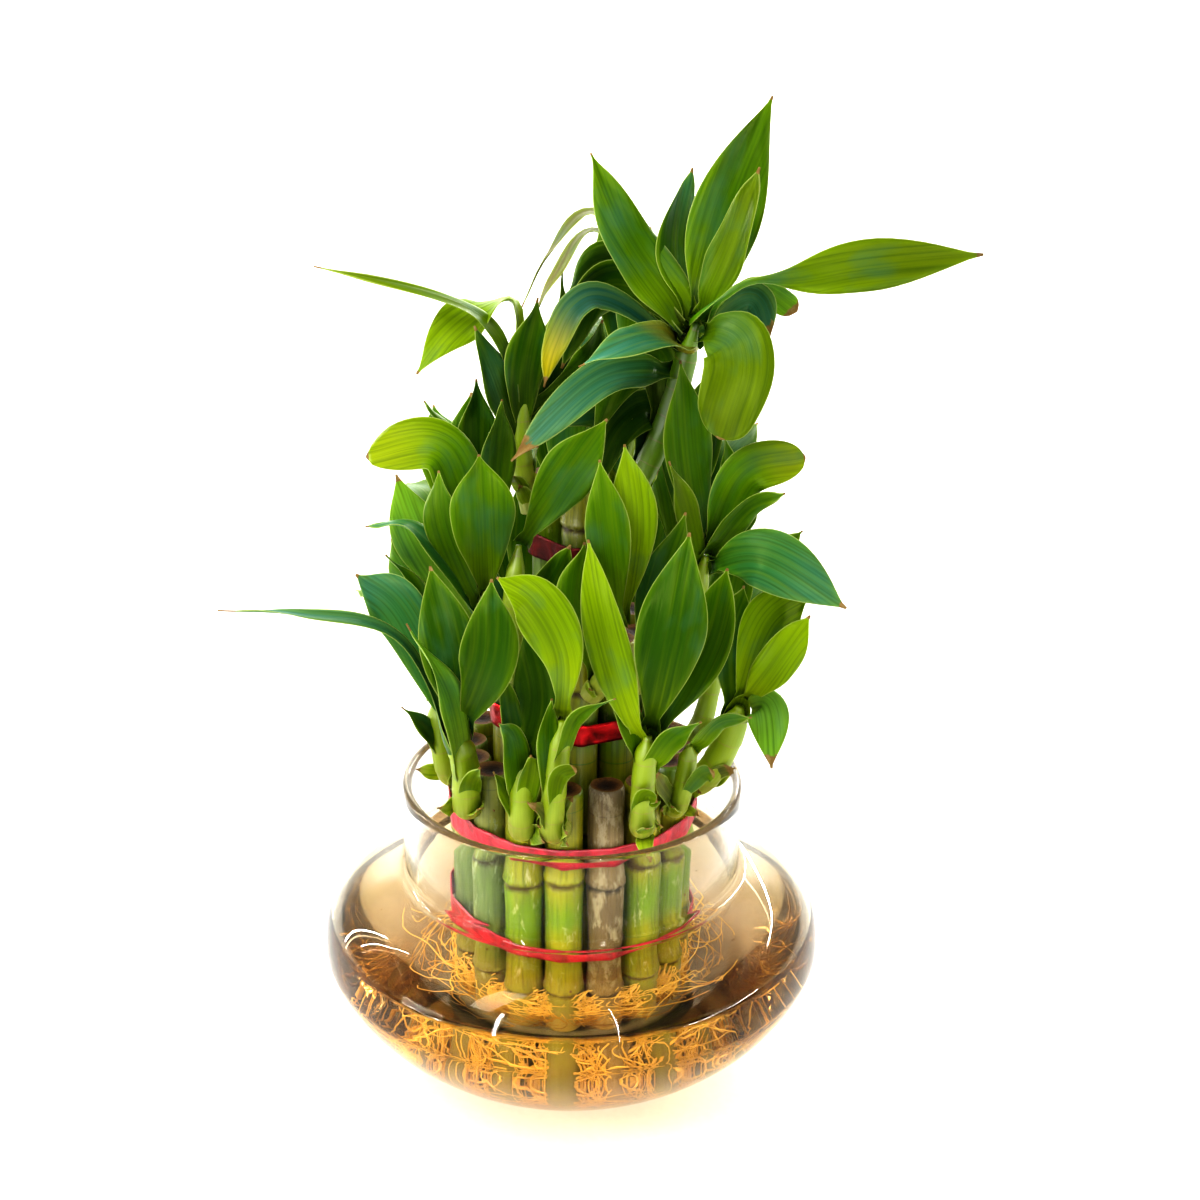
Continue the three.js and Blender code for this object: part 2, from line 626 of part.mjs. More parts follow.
function backShoot(plan, number) {
  const random = makeRandom(7 + 13 * number);
  const tier = TIERS[plan.tier];
  const centre = caneCentre(tier, plan.cane);
  const angle = Math.atan2(centre.x, -centre.y);
  const stem = [[0.3, 0.2], [0.7, 0.5], [1, 1]].map(([outShare, upShare]) => {
    const far = tier.ring + tier.radius + plan.reach * outShare;
    return [far * Math.sin(angle), -far * Math.cos(angle), tier.shootsFrom + plan.rise * upShare];
  });
  const top = new THREE.Vector3(...stem.at(-1));
  const leaves = Array.from({ length: BACK_LEAVES }, (_, i) => {
    const side = i % 2 ? 1 : -1;
    const heading = radians(plan.heading + side * (BACK_FAN * (i + 1) / BACK_LEAVES + 6 * random()));
    const steep = BACK_STEEP - BACK_STEP * i;
    const length = plan.length * (0.9 + 0.2 * random());
    const width = BACK_WIDTH * (0.85 + 0.2 * random());
    const path = archPath(top, heading, steep, BACK_DROOP + BACK_STEP * i, length);
    return [BACK_FIRST - BACK_SPACING * i, width, 0, path];
  });
  return { ...plan, radius: BACK_RADIUS, stem, leaves, back: true };
}

makeBowl();
makeWater();
makeCanes();
makeRibbons();
makeRoots();
FRONT_SHOOTS.forEach(makeShoot);
BACK_SHOOTS.map(backShoot).forEach(makeShoot);

export default group;
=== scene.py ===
# Lucky bamboo in its glass bowl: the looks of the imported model, piece by piece.
import math
import random

import bpy
from mathutils import Euler, Matrix, Quaternion, Vector


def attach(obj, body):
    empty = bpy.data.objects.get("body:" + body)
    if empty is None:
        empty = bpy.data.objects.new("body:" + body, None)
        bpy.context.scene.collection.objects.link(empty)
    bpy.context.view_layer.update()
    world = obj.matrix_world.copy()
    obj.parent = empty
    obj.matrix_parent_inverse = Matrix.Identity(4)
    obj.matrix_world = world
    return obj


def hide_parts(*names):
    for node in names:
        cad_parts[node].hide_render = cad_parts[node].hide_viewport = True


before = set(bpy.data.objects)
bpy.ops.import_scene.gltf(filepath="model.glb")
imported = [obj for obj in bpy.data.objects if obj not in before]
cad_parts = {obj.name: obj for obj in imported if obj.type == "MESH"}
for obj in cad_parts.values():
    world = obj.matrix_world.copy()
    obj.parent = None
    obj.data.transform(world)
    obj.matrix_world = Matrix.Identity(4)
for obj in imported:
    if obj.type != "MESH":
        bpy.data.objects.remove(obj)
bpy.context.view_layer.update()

# Bowl
# A bowl of soda-lime glass, blown into a mould: a flat foot, a squat belly, an upright collar.
# The rim was fire-polished round, the foot is thick and a little hollow underneath, and the
# whole wall is faintly uneven, so that the water line and the canes bend in it.
MM = 0.001
FOOT_R = 34
BELLY_R = 80
BELLY_Z = 40.6
JOINT_Z = 66
COLLAR_R = 53.8
RIM_Z = 97
WALL = 2.8
FLOOR_Z = 6
FLOOR_R = 39.5
LOWER_POWER = 1.47
UPPER_POWER = 2.2
FOOT_RING_R = 29
FOOT_RING_W = 1.5
FOOT_RING_Z = 0.25
FOOT_HOLLOW = 1.1
FOOT_GROUND = (0.3, 1.5)
BOWL_SIDES = 144
BELLY_STEPS = 20
COLLAR_STEPS = 8
RIM_STEPS = 10
UNEVEN_WALL = 0.35
GLASS_TINT = "#B8B098"
GLASS_DENSITY = 24
# Sizes of the patterns in millimetres: a finger smear, a ripple in the glass, and the spacing
# of the places where a speck of lime may lie. One place in seven has a speck.
SMEAR = 22.2
RIPPLE = 38.5
LIME_CELL = 4.167
NO_LIME = 0.86
LIME_SIZE = 0.11


def linear(hex_colour):
    """An sRGB hex colour as the linear values that a shader wants."""
    parts = [int(hex_colour[i:i + 2], 16) / 255 for i in (1, 3, 5)]
    return [p / 12.92 if p <= 0.04045 else ((p + 0.055) / 1.055) ** 2.4 for p in parts] + [1.0]


def add_node(tree, kind, inputs=None, stops=None, **settings):
    """A node with its settings, its input values or links, and its colour stops."""
    node = tree.nodes.new(kind)
    for name, value in settings.items():
        setattr(node, name, value)
    for key, value in (inputs or {}).items():
        if isinstance(value, bpy.types.Node):
            value = next(s for s in value.outputs if s.enabled)
        if isinstance(value, bpy.types.NodeSocket):
            tree.links.new(value, node.inputs[key])
        else:
            node.inputs[key].default_value = value
    for place, colour in stops or []:
        ramp = node.color_ramp.elements
        stop = ramp[-place] if place in (0, 1) else ramp.new(place)
        stop.color = linear(colour)
    return node


def per_metre(size):
    """The scale of a pattern whose marks are this many millimetres wide."""
    return 1 / (size * MM)


def new_material(name):
    """A material with only its output node."""
    material = bpy.data.materials.new(name)
    material.use_nodes = True
    material.node_tree.nodes.clear()
    output = material.node_tree.nodes.new("ShaderNodeOutputMaterial")
    return material, material.node_tree, output


def clear_body(tree, output, shader, tint, density):
    """A clear body with its tint inside. Light falls straight through it, as through a thin wall."""
    path = add_node(tree, "ShaderNodeLightPath")
    through = add_node(tree, "ShaderNodeBsdfTransparent", {"Color": linear("#FAF9F6")})
    both = add_node(tree, "ShaderNodeMixShader", {
        0: path.outputs["Is Shadow Ray"], 1: shader, 2: through,
    })
    depth = add_node(tree, "ShaderNodeVolumeAbsorption", {"Color": linear(tint), "Density": density})
    tree.links.new(both.outputs[0], output.inputs["Surface"])
    tree.links.new(depth.outputs[0], output.inputs["Volume"])


def amber_lustre(tree, height):
    """Lustre baked on the belly: brown low down, amber above, and none on the foot and collar."""
    level = add_node(tree, "ShaderNodeMapRange", {0: height, 1: 0, 2: RIM_Z * MM})
    return add_node(tree, "ShaderNodeValToRGB", {0: level}, stops=[
        (0, "#F4F4F4"), (0.02, "#C8BCAC"), (0.05, "#AC9678"), (0.1, "#BEA688"), (0.24, "#CEBA9A"),
        (0.44, "#DED0AE"), (0.63, "#E2DAC4"), (0.72, "#E6E6E4"), (1, "#E4E4E2"),
    ])


def lime_specks(tree, place, glass):
    """Lime left on the glass where drops of hard water dried: dull tan specks up to 1 mm wide."""
    cells = add_node(tree, "ShaderNodeTexVoronoi", {"Vector": place, "Scale": per_metre(LIME_CELL)})
    lots = add_node(tree, "ShaderNodeSeparateColor", {0: cells.outputs["Color"]})
    size = add_node(tree, "ShaderNodeMapRange", {0: lots, 1: NO_LIME, 2: 1.0, 3: 0.0, 4: LIME_SIZE})
    speck = add_node(tree, "ShaderNodeMath", {
        0: cells.outputs["Distance"], 1: size,
    }, operation="LESS_THAN")
    lime = add_node(tree, "ShaderNodeBsdfDiffuse", {"Color": linear("#7A6238")})
    return add_node(tree, "ShaderNodeMixShader", {0: speck, 1: glass, 2: lime})


def ground_foot(tree, height, glass):
    """The foot was ground flat on a wheel, and stays frosted: it lets the floor through as white."""
    low, high = FOOT_GROUND
    ground = add_node(tree, "ShaderNodeMapRange", {0: height, 1: low * MM, 2: high * MM, 3: 0.7, 4: 0})
    frost = add_node(tree, "ShaderNodeBsdfTranslucent", {"Color": linear("#F0F0EC")})
    return add_node(tree, "ShaderNodeMixShader", {0: ground, 1: glass, 2: frost})


def glass_material():
    """Blown soda-lime glass, fire-polished: hard bright glints, faint smears and slow ripples."""
    material, tree, output = new_material("clear_soda_glass")
    place = add_node(tree, "ShaderNodeTexCoord").outputs["Object"]
    height = add_node(tree, "ShaderNodeSeparateXYZ", {0: place}).outputs["Z"]
    smear = add_node(tree, "ShaderNodeTexNoise", {"Vector": place, "Scale": per_metre(SMEAR), "Detail": 3})
    polish = add_node(tree, "ShaderNodeMapRange", {0: smear, 1: 0.55, 2: 0.8, 3: 0.0, 4: 0.05})
    ripple = add_node(tree, "ShaderNodeTexNoise", {
        "Vector": place, "Scale": per_metre(RIPPLE), "Detail": 1,
    })
    relief = add_node(tree, "ShaderNodeBump", {"Height": ripple, "Distance": 0.3 * MM, "Strength": 0.6})
    glass = add_node(tree, "ShaderNodeBsdfPrincipled", {
        "Base Color": amber_lustre(tree, height), "Roughness": polish, "IOR": 1.5,
        "Specular Tint": linear("#7C7C7C"), "Transmission Weight": 1.0, "Normal": relief,
    })
    footed = ground_foot(tree, height, lime_specks(tree, place, glass))
    clear_body(tree, output, footed, GLASS_TINT, GLASS_DENSITY)
    return material


def sweep(curve, steps, end=math.pi / 2):
    return [curve(end * i / steps) for i in range(steps + 1)]


def lower_wall(t, inset, foot_r, floor):
    out = math.sin(t) ** (2 / LOWER_POWER)
    up = 1 - max(0, math.cos(t)) ** (2 / LOWER_POWER)
    return foot_r + (BELLY_R - inset - foot_r) * out, floor + (BELLY_Z - floor) * up


def upper_wall(t, inset):
    out = max(0, math.cos(t)) ** (2 / UPPER_POWER)
    up = math.sin(t) ** (2 / UPPER_POWER)
    return COLLAR_R - inset + (BELLY_R - COLLAR_R) * out, BELLY_Z + (JOINT_Z - inset - BELLY_Z) * up


def belly_outline(inset, foot_r, floor):
    """The belly from the foot to the joint with the collar, as radius and height."""
    low = sweep(lambda t: lower_wall(t, inset, foot_r, floor), BELLY_STEPS)
    high = sweep(lambda t: upper_wall(t, inset), BELLY_STEPS)
    return low + high[1:]


def collar_outline(radius):
    """The upright collar between the joint and the rim, both left out."""
    low = JOINT_Z
    high = RIM_Z - WALL / 2
    return [(radius, low + (high - low) * i / COLLAR_STEPS) for i in range(1, COLLAR_STEPS)]


def rim_point(t):
    """A place on the half-round lip, from its outer side over the top to its inner side."""
    lip = WALL / 2
    return COLLAR_R - lip + lip * math.cos(t), RIM_Z - lip + lip * math.sin(t)


def bowl_outline():
    """The whole wall: under the foot, up the outside, over the rim and down the inside."""
    under = [
        (0, FOOT_HOLLOW), (FOOT_RING_R * 0.6, FOOT_HOLLOW), (FOOT_RING_R, FOOT_RING_Z),
        (FOOT_RING_R + FOOT_RING_W, 0),
    ]
    outside = belly_outline(0, FOOT_R, 0) + collar_outline(COLLAR_R)
    rim = sweep(rim_point, RIM_STEPS, math.pi)
    inside = belly_outline(WALL, FLOOR_R, FLOOR_Z) + collar_outline(COLLAR_R - WALL)
    return under + outside + rim + inside[::-1] + [(FLOOR_R * 0.5, FLOOR_Z), (0, FLOOR_Z)]


def mesh_object(name, verts, faces, materials):
    """A smooth-shaded object from points in metres and corner numbers."""
    mesh = bpy.data.meshes.new(name)
    mesh.from_pydata(verts, [], faces)
    mesh.polygons.foreach_set("use_smooth", [True] * len(mesh.polygons))
    mesh.update()
    for material in materials:
        mesh.materials.append(material)
    piece = bpy.data.objects.new(name, mesh)
    bpy.context.scene.collection.objects.link(piece)
    return piece


def turned_mesh(outline, sides, unevenness):
    """A closed body about the upright axis: the outline starts and ends on the axis."""
    verts = [(0, 0, outline[0][1] * MM)]
    for r, z in outline[1:-1]:
        for k in range(sides):
            angle = 2 * math.pi * k / sides
            radius = (r - unevenness(r, z, angle)) * MM
            verts.append((radius * math.sin(angle), -radius * math.cos(angle), z * MM))
    verts.append((0, 0, outline[-1][1] * MM))
    last = len(verts) - 1
    faces = []
    for k in range(sides):
        after = (k + 1) % sides
        faces.append((0, 1 + after, 1 + k))
        for row in range(len(outline) - 3):
            a = 1 + row * sides
            faces.append((a + k, a + after, a + sides + after, a + sides + k))
        a = 1 + (len(outline) - 3) * sides
        faces.append((a + k, a + after, last))
    return verts, faces


def blown_wall(r, z, angle):
    """How far the wall lies inside its mould at a place, in millimetres: three slow waves and
    seven quicker ones round the bowl, each shifted with the height, and none near the foot."""
    slow = math.sin(3 * angle + z / 19) * math.sin(z / 13 + 1.3)
    quick = 0.6 * math.sin(7 * angle - z / 9 + r / 30)
    keep = min(1, max(0, z - 4) / 20)
    return UNEVEN_WALL * keep * (0.5 + 0.3 * (slow + quick))


def make_bowl():
    verts, faces = turned_mesh(bowl_outline(), BOWL_SIDES, blown_wall)
    bowl = mesh_object("glass_bowl", verts, faces, [glass_material()])
    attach(bowl, "root")
    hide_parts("bowl")


make_bowl()

# Water
# Shallow tap water that has stood for weeks and has gone the colour of weak tea.
# It wets the glass all round, so its skin turns up a little at the wall.
WATER_TOP = 49.8
MENISCUS = 0.4
MENISCUS_STEPS = (0.6, 2)
WETTING = 0.12
WATER_TEA = "#D8C48C"
WATER_DENSITY = 3.5
# Slow swells of the water's skin, in millimetres
SWELL = 16.7


def water_material():
    """Standing water with a little tannin: clear near the skin, amber through its depth."""
    material, tree, output = new_material("standing_water")
    place = add_node(tree, "ShaderNodeTexCoord").outputs["Object"]
    swell = add_node(tree, "ShaderNodeTexNoise", {"Vector": place, "Scale": per_metre(SWELL), "Detail": 2})
    relief = add_node(tree, "ShaderNodeBump", {"Height": swell, "Distance": 0.1 * MM, "Strength": 0.5})
    water = add_node(tree, "ShaderNodeBsdfPrincipled", {
        "Base Color": linear("#FFFFFF"), "Roughness": 0.0, "IOR": 1.33, "Specular Tint": linear("#9A9A9A"),
        "Transmission Weight": 1.0, "Normal": relief,
    })
    clear_body(tree, output, water, WATER_TEA, WATER_DENSITY)
    return material


def water_outline():
    """The inside of the bowl up to the water line, then the skin with its rim turned up."""
    wall = belly_outline(WALL - WETTING, FLOOR_R, FLOOR_Z - WETTING)
    wet = [p for p in wall if p[1] < WATER_TOP]
    low = wet[-1]
    high = wall[len(wet)]
    edge_r = low[0] + (high[0] - low[0]) * (WATER_TOP - low[1]) / (high[1] - low[1])
    near, far = MENISCUS_STEPS
    skin = [
        (edge_r, WATER_TOP + MENISCUS), (edge_r - near, WATER_TOP + MENISCUS * 0.3),
        (edge_r - far, WATER_TOP), (edge_r * 0.6, WATER_TOP), (0, WATER_TOP),
    ]
    return [(0, FLOOR_Z - WETTING)] + wet + skin


def make_water():
    verts, faces = turned_mesh(water_outline(), BOWL_SIDES, blown_wall)
    water = mesh_object("bowl_water", verts, faces, [water_material()])
    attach(water, "root")
    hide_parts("water")


make_water()

# Roots
# Fine water roots that grow out of the feet of the canes, run round the bundle and end loose
# over the floor of the bowl. Their colour is painted by height: orange on top of the tangle as
# painted light, and brown lower down as painted shade.
ROOT_COUNT = 850
ROOT_POINTS = 17
ROOT_SIDES = 5
ROOT_THICK = 0.58
ROOT_TIP = 0.4
ROOT_NEAR_R = 36.5
ROOT_FAR_R = 62
ROOT_LOW_Z = 9.0
ROOT_HIGH_Z = 27
# Heights over which the roots go from painted shade, low in the tangle, to painted light on top
ROOT_SHADE = (9, 29)
ROOT_FLECK = 7.7
# A root turns back from the glass at this radius low down, and further out the higher it lies
WALL_AT_LOW = 43.5
WALL_SPREAD = 1.15
# Some roots hang close to the canes, and those in front of the bundle spread least
HANGING_SHARE = 0.45
HANGING_SWING = 0.08
HANGING_REACH = 0.12
HANGING_FALL = -1.1
HANGING_START = (0.9, 1.25)
FRONT_REACH = 0.1
SELDOM_FAR = 3.2
ROOT_WEAVE = 0.09
ROOT_CURL = 9.5
# Curls per metre, one every 16 mm
ROOT_CURLS = 62
# What differs from strand to strand, each with its least and its most
ROOT_HABITS = {
    "start": (0, 2 * math.pi), "swing": (-0.9, 0.9), "waves": (3, 9), "reach": (0.1, 1),
    "height": (0.0, 1.0), "rise": (-0.6, 0.25), "girth": (0.5, 1.15), "kind": (0, 1),
}


def root_material():
    """Living root bark, grown under water: a soft matt skin with darker flecks, painted orange high
    in the tangle as painted light and dull brown low down as painted shade."""
    material, tree, output = new_material("water_root")
    place = add_node(tree, "ShaderNodeTexCoord").outputs["Object"]
    height = add_node(tree, "ShaderNodeSeparateXYZ", {0: place}).outputs["Z"]
    fleck = add_node(tree, "ShaderNodeTexNoise", {
        "Vector": place, "Scale": per_metre(ROOT_FLECK), "Detail": 4,
    })
    low, high = ROOT_SHADE
    # Painted shade and light: the colour is darker low in the tangle and lighter at its top, by height alone
    level = add_node(tree, "ShaderNodeMapRange", {0: height, 1: low * MM, 2: high * MM})
    fleck_and_painted_shade = add_node(tree, "ShaderNodeMath", {0: fleck, 1: 0.9, 2: level}, operation="MULTIPLY_ADD")
    colour = add_node(tree, "ShaderNodeValToRGB", {0: fleck_and_painted_shade}, stops=[
        (0, "#2E2014"), (0.35, "#5E4424"), (0.72, "#BC8A30"), (1, "#F2CA68"),
    ])
    relief = add_node(tree, "ShaderNodeBump", {"Height": fleck, "Distance": 0.2 * MM, "Strength": 0.5})
    rough = add_node(tree, "ShaderNodeMapRange", {0: fleck, 3: 0.5, 4: 0.75})
    skin = add_node(tree, "ShaderNodeBsdfPrincipled", {
        "Base Color": colour, "Roughness": rough, "Normal": relief,
    })
    tree.links.new(skin.outputs[0], output.inputs["Surface"])
    return material


def named_tree(name, sizes, materials):
    """An empty geometry tree with an output, number inputs and material inputs, by name."""
    tree = bpy.data.node_groups.new(name, "GeometryNodeTree")
    for size, start in sizes.items():
        kind = "NodeSocketInt" if isinstance(start, int) else "NodeSocketFloat"
        tree.interface.new_socket(size, in_out="INPUT", socket_type=kind).default_value = start
    for material in materials:
        tree.interface.new_socket(material, in_out="INPUT", socket_type="NodeSocketMaterial")
    tree.interface.new_socket("Geometry", in_out="OUTPUT", socket_type="NodeSocketGeometry")
    return tree, tree.nodes.new("NodeGroupInput").outputs


def finish_tree(tree, geometry):
    """Real geometry at the end of a tree, since a copy that is only an instance would be lost."""
    solid = add_node(tree, "GeometryNodeRealizeInstances", {0: geometry})
    add_node(tree, "NodeGroupOutput", {0: solid})


def grown_object(name, tree, values):
    """Runs a tree with the given inputs and keeps the result as a plain mesh."""
    holder = bpy.data.objects.new(name + "_holder", bpy.data.meshes.new(name + "_holder"))
    bpy.context.scene.collection.objects.link(holder)
    modifier = holder.modifiers.new("grow", "NODES")
    modifier.node_group = tree
    for item in tree.interface.items_tree:
        if item.in_out == "INPUT" and item.name in values:
            modifier[item.identifier] = values[item.name]
    depsgraph = bpy.context.evaluated_depsgraph_get()
    mesh = bpy.data.meshes.new_from_object(holder.evaluated_get(depsgraph))
    holder.modifiers.remove(modifier)
    bpy.data.objects.remove(holder)
    mesh.name = name
    piece = bpy.data.objects.new(name, mesh)
    bpy.context.scene.collection.objects.link(piece)
    return piece


def root_habits(tree, given, strand):
    """Every strand's own share of each habit, by chance."""
    habit = {}
    for number, (name, (least, most)) in enumerate(ROOT_HABITS.items()):
        seed = add_node(tree, "ShaderNodeMath", {0: given["Seed"], 1: number}, operation="ADD")
        habit[name] = add_node(tree, "FunctionNodeRandomValue", {
            2: least, 3: most, "ID": strand, "Seed": seed,
        })
    return habit


def root_turn(tree, habit, spreads, along):
    """The angle round the bundle: a strand swings to one side and weaves a little on its way."""
    phase = add_node(tree, "ShaderNodeMath", {0: along, 1: habit["waves"]}, operation="MULTIPLY")
    weave = add_node(tree, "ShaderNodeMath", {0: phase}, operation="SINE")
    swing = add_node(tree, "ShaderNodeMapRange", {0: spreads, 3: HANGING_SWING, 4: 1})
    own_swing = add_node(tree, "ShaderNodeMath", {0: habit["swing"], 1: swing}, operation="MULTIPLY")
    heading = add_node(tree, "ShaderNodeMath", {
        0: along, 1: own_swing, 2: habit["start"],
    }, operation="MULTIPLY_ADD")
    return add_node(tree, "ShaderNodeMath", {
        0: weave, 1: ROOT_WEAVE, 2: heading,
    }, operation="MULTIPLY_ADD")


def root_height(tree, given, habit, spreads, along):
    """The height above the floor: hanging strands start high and fall, the others lie about."""
    fall = add_node(tree, "ShaderNodeMapRange", {0: spreads, 3: HANGING_FALL, 4: habit["rise"]})
    least, most = HANGING_START
    top = add_node(tree, "ShaderNodeMapRange", {0: habit["height"], 3: least, 4: most})
    start = add_node(tree, "ShaderNodeMapRange", {0: spreads, 3: top, 4: habit["height"]})
    climb = add_node(tree, "ShaderNodeMath", {0: along, 1: fall, 2: start}, operation="MULTIPLY_ADD")
    lift = add_node(tree, "ShaderNodeMath", {0: climb, 1: 0.03}, operation="MAXIMUM")
    return add_node(tree, "ShaderNodeMapRange", {
        0: lift, 3: given["Low"], 4: given["High"],
    }, clamp=False)


def root_radius(tree, given, habit, spreads, along, backward, height):
    """The distance from the middle of the bowl: few strands run far out, and the glass stops all."""
    free = add_node(tree, "ShaderNodeMapRange", {
        0: backward, 1: -1, 2: -0.4, 3: given["Front Reach"], 4: 1,
    })
    eased = add_node(tree, "ShaderNodeMath", {0: along, 1: 0.7}, operation="POWER")
    kept = add_node(tree, "ShaderNodeMapRange", {0: spreads, 3: HANGING_REACH, 4: free})
    far = add_node(tree, "ShaderNodeMath", {0: habit["reach"], 1: SELDOM_FAR}, operation="POWER")
    own_reach = add_node(tree, "ShaderNodeMath", {0: far, 1: kept}, operation="MULTIPLY")
    reach = add_node(tree, "ShaderNodeMath", {0: eased, 1: own_reach}, operation="MULTIPLY")
    wished = add_node(tree, "ShaderNodeMapRange", {
        0: reach, 3: given["Near Radius"], 4: given["Far Radius"],
    })
    above = add_node(tree, "ShaderNodeMath", {0: height, 1: given["Low"]}, operation="SUBTRACT")
    wall = add_node(tree, "ShaderNodeMath", {
        0: above, 1: WALL_SPREAD, 2: WALL_AT_LOW * MM,
    }, operation="MULTIPLY_ADD")
    return add_node(tree, "ShaderNodeMath", {0: wished, 1: wall}, operation="MINIMUM")


def root_curl(tree, path, strand):
    """How far each strand curls off its smooth path, which differs from strand to strand."""
    curl = add_node(tree, "ShaderNodeTexNoise", {
        "Vector": path, "W": strand, "Scale": ROOT_CURLS, "Detail": 2,
    }, noise_dimensions="4D").outputs["Color"]
    centred = add_node(tree, "ShaderNodeVectorMath", {0: curl, 1: (0.5, 0.5, 0.42)}, operation="SUBTRACT")
    return add_node(tree, "ShaderNodeVectorMath", {
        0: centred, "Scale": ROOT_CURL * MM,
    }, operation="SCALE")


def root_path(tree, given, strand, along):
    """Where the points of the strands lie, and how thick the strands are."""
    habit = root_habits(tree, given, strand)
    spreads = add_node(tree, "ShaderNodeMath", {
        0: habit["kind"], 1: given["Hanging Share"],
    }, operation="GREATER_THAN")
    turn = root_turn(tree, habit, spreads, along)
    sideways = add_node(tree, "ShaderNodeMath", {0: turn}, operation="SINE")
    backward = add_node(tree, "ShaderNodeMath", {0: turn}, operation="COSINE")
    height = root_height(tree, given, habit, spreads, along)
    radius = root_radius(tree, given, habit, spreads, along, backward, height)
    way = add_node(tree, "ShaderNodeCombineXYZ", {0: sideways, 1: backward})
    level_place = add_node(tree, "ShaderNodeVectorMath", {0: way, "Scale": radius}, operation="SCALE")
    rise = add_node(tree, "ShaderNodeCombineXYZ", {2: height})
    smooth_path = add_node(tree, "ShaderNodeVectorMath", {0: level_place, 1: rise}, operation="ADD")
    curl = root_curl(tree, smooth_path, strand)
    path = add_node(tree, "ShaderNodeVectorMath", {0: smooth_path, 1: curl}, operation="ADD")
    taper = add_node(tree, "ShaderNodeMapRange", {0: along, 3: 1, 4: ROOT_TIP})
    girth = add_node(tree, "ShaderNodeMath", {0: taper, 1: habit["girth"]}, operation="MULTIPLY")
    return path, girth


def root_tree():
    """Curved strands that start at the bundle, swing round it and spread over the floor."""
    sizes = {
        "Count": ROOT_COUNT, "Points": ROOT_POINTS, "Thickness": ROOT_THICK * MM,
        "Near Radius": ROOT_NEAR_R * MM, "Far Radius": ROOT_FAR_R * MM,
        "Low": ROOT_LOW_Z * MM, "High": ROOT_HIGH_Z * MM, "Front Reach": FRONT_REACH,
        "Hanging Share": HANGING_SHARE, "Seed": 4,
    }
    tree, given = named_tree("root_strands", sizes, ["Bark"])
    line = add_node(tree, "GeometryNodeCurvePrimitiveLine")
    points = add_node(tree, "GeometryNodeResampleCurve", {"Curve": line, "Count": given["Points"]})
    many = add_node(tree, "GeometryNodeDuplicateElements", {
        "Geometry": points, "Amount": given["Count"],
    }, domain="SPLINE")
    along = add_node(tree, "GeometryNodeSplineParameter").outputs["Factor"]
    path, girth = root_path(tree, given, many.outputs["Duplicate Index"], along)
    placed = add_node(tree, "GeometryNodeSetPosition", {"Geometry": many, "Position": path})
    half = add_node(tree, "ShaderNodeMath", {0: given["Thickness"], 1: 0.5}, operation="MULTIPLY")
    ring = add_node(tree, "GeometryNodeCurvePrimitiveCircle", {"Resolution": ROOT_SIDES, "Radius": half})
    tube = add_node(tree, "GeometryNodeCurveToMesh", {
        "Curve": placed, "Profile Curve": ring, "Scale": girth, "Fill Caps": True,
    })
    smooth = add_node(tree, "GeometryNodeSetShadeSmooth", {"Geometry": tube, "Shade Smooth": True})
    barked = add_node(tree, "GeometryNodeSetMaterial", {"Geometry": smooth, "Material": given["Bark"]})
    finish_tree(tree, barked)
    return tree


def make_roots():
    tangle = grown_object("root_tangle", root_tree(), {"Bark": root_material()})
    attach(tangle, "root")
    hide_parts("roots")


make_roots()

# Canes
# Cuttings of one cane, sawn square and waxed on top, in three rings of one height each.
# A cane has a groove with a swollen lip at every knot, where a leaf once sat, and its skin
# is smooth, olive to yellow, with pale scuffs and the grey bloom of hard water.
CANE_BOTTOM = 6.3
CANE_SIDES = 26
CANE_ROW = 1.0
KNOT_SPACING = 48.0
WAIST = 0.35
WAIST_REACH = 12
# Rings beside a knot: their middle above it, their reach up and down, their height or depth
KNOT_LIP = (1.3, 1.8, 0.45)
KNOT_GROOVE = (-0.3, 1.1, 0.5)
TOP_BEVEL = (1.4, 0.55)
TOP_DISH = 0.9
UNEVEN_TOP = 1.2
UNEVEN_STEP = 2.4
KNOT_DRIFT = 2.6
KNOT_STEP = 4.1
EVEN_SKIN = 0.22
SHRUNK_SKIN = 0.6
TIERS = {
    "lower": {"count": 16, "ring": 32.5, "radius": 6.1, "top": 109, "turn": -4, "knot": 31.0},
    "middle": {"count": 10, "ring": 20, "radius": 6.0, "top": 150, "turn": 6, "knot": 41.0},
    "top": {"count": 3, "ring": 7.3, "radius": 6.0, "top": 199, "turn": 16, "knot": 40.0},
}
# Colours of the green, the yellowed skin, the fibres, the scuffs and the rings at the knots,
# then how rough the wax is and how far the skin has crusted over
CANE_SKINS = {
    "fresh": ("olive_cane", "#6C8804", "#98940E", "#445404", "#C8C290", "#462C0C", 0.32, 0.0),
    "bloomed": ("bloomed_cane", "#66783A", "#8A8E3A", "#465826", "#B4BE96", "#34260E", 0.4, 0.03),
    "dead": ("weathered_dead_cane", "#6C5A38", "#806C42", "#423420", "#A89A78", "#241A0E", 0.6, 0.1),
}
DEAD_CANE = 1
BLOOMED_CANES = (12, 13, 14)
SOAKED = (12, 42)
# Marks per millimetre across, across and along. Patches are 10 mm wide and 45 mm long, scuffs
# 3 by 8 mm. Fibres are drawn 0.9 mm wide, since the real ones are too fine to show.
CANE_PATCHES = (0.10, 0.10, 0.022)
CANE_FIBRES = (1.1, 1.1, 0.05)
CANE_SCUFFS = (0.3, 0.3, 0.12)
SAW_GRAIN = 1.1
# Swells of the cane itself, a few round it and one every 38 mm along it
CANE_SWELLS = (0.6, 0.6, 26)
SWELL_DEPTH = 4
NEXT_CANE = 211


def drawn_out(tree, where, marks, detail, roughness=0.5):
    """A cloudy pattern that is longer one way, from its marks per unit in each direction."""
    way = add_node(tree, "ShaderNodeVectorMath", {0: where, 1: marks}, operation="MULTIPLY")
    return add_node(tree, "ShaderNodeTexNoise", {
        "Vector": way, "Scale": 1.0, "Detail": detail, "Roughness": roughness,
    })


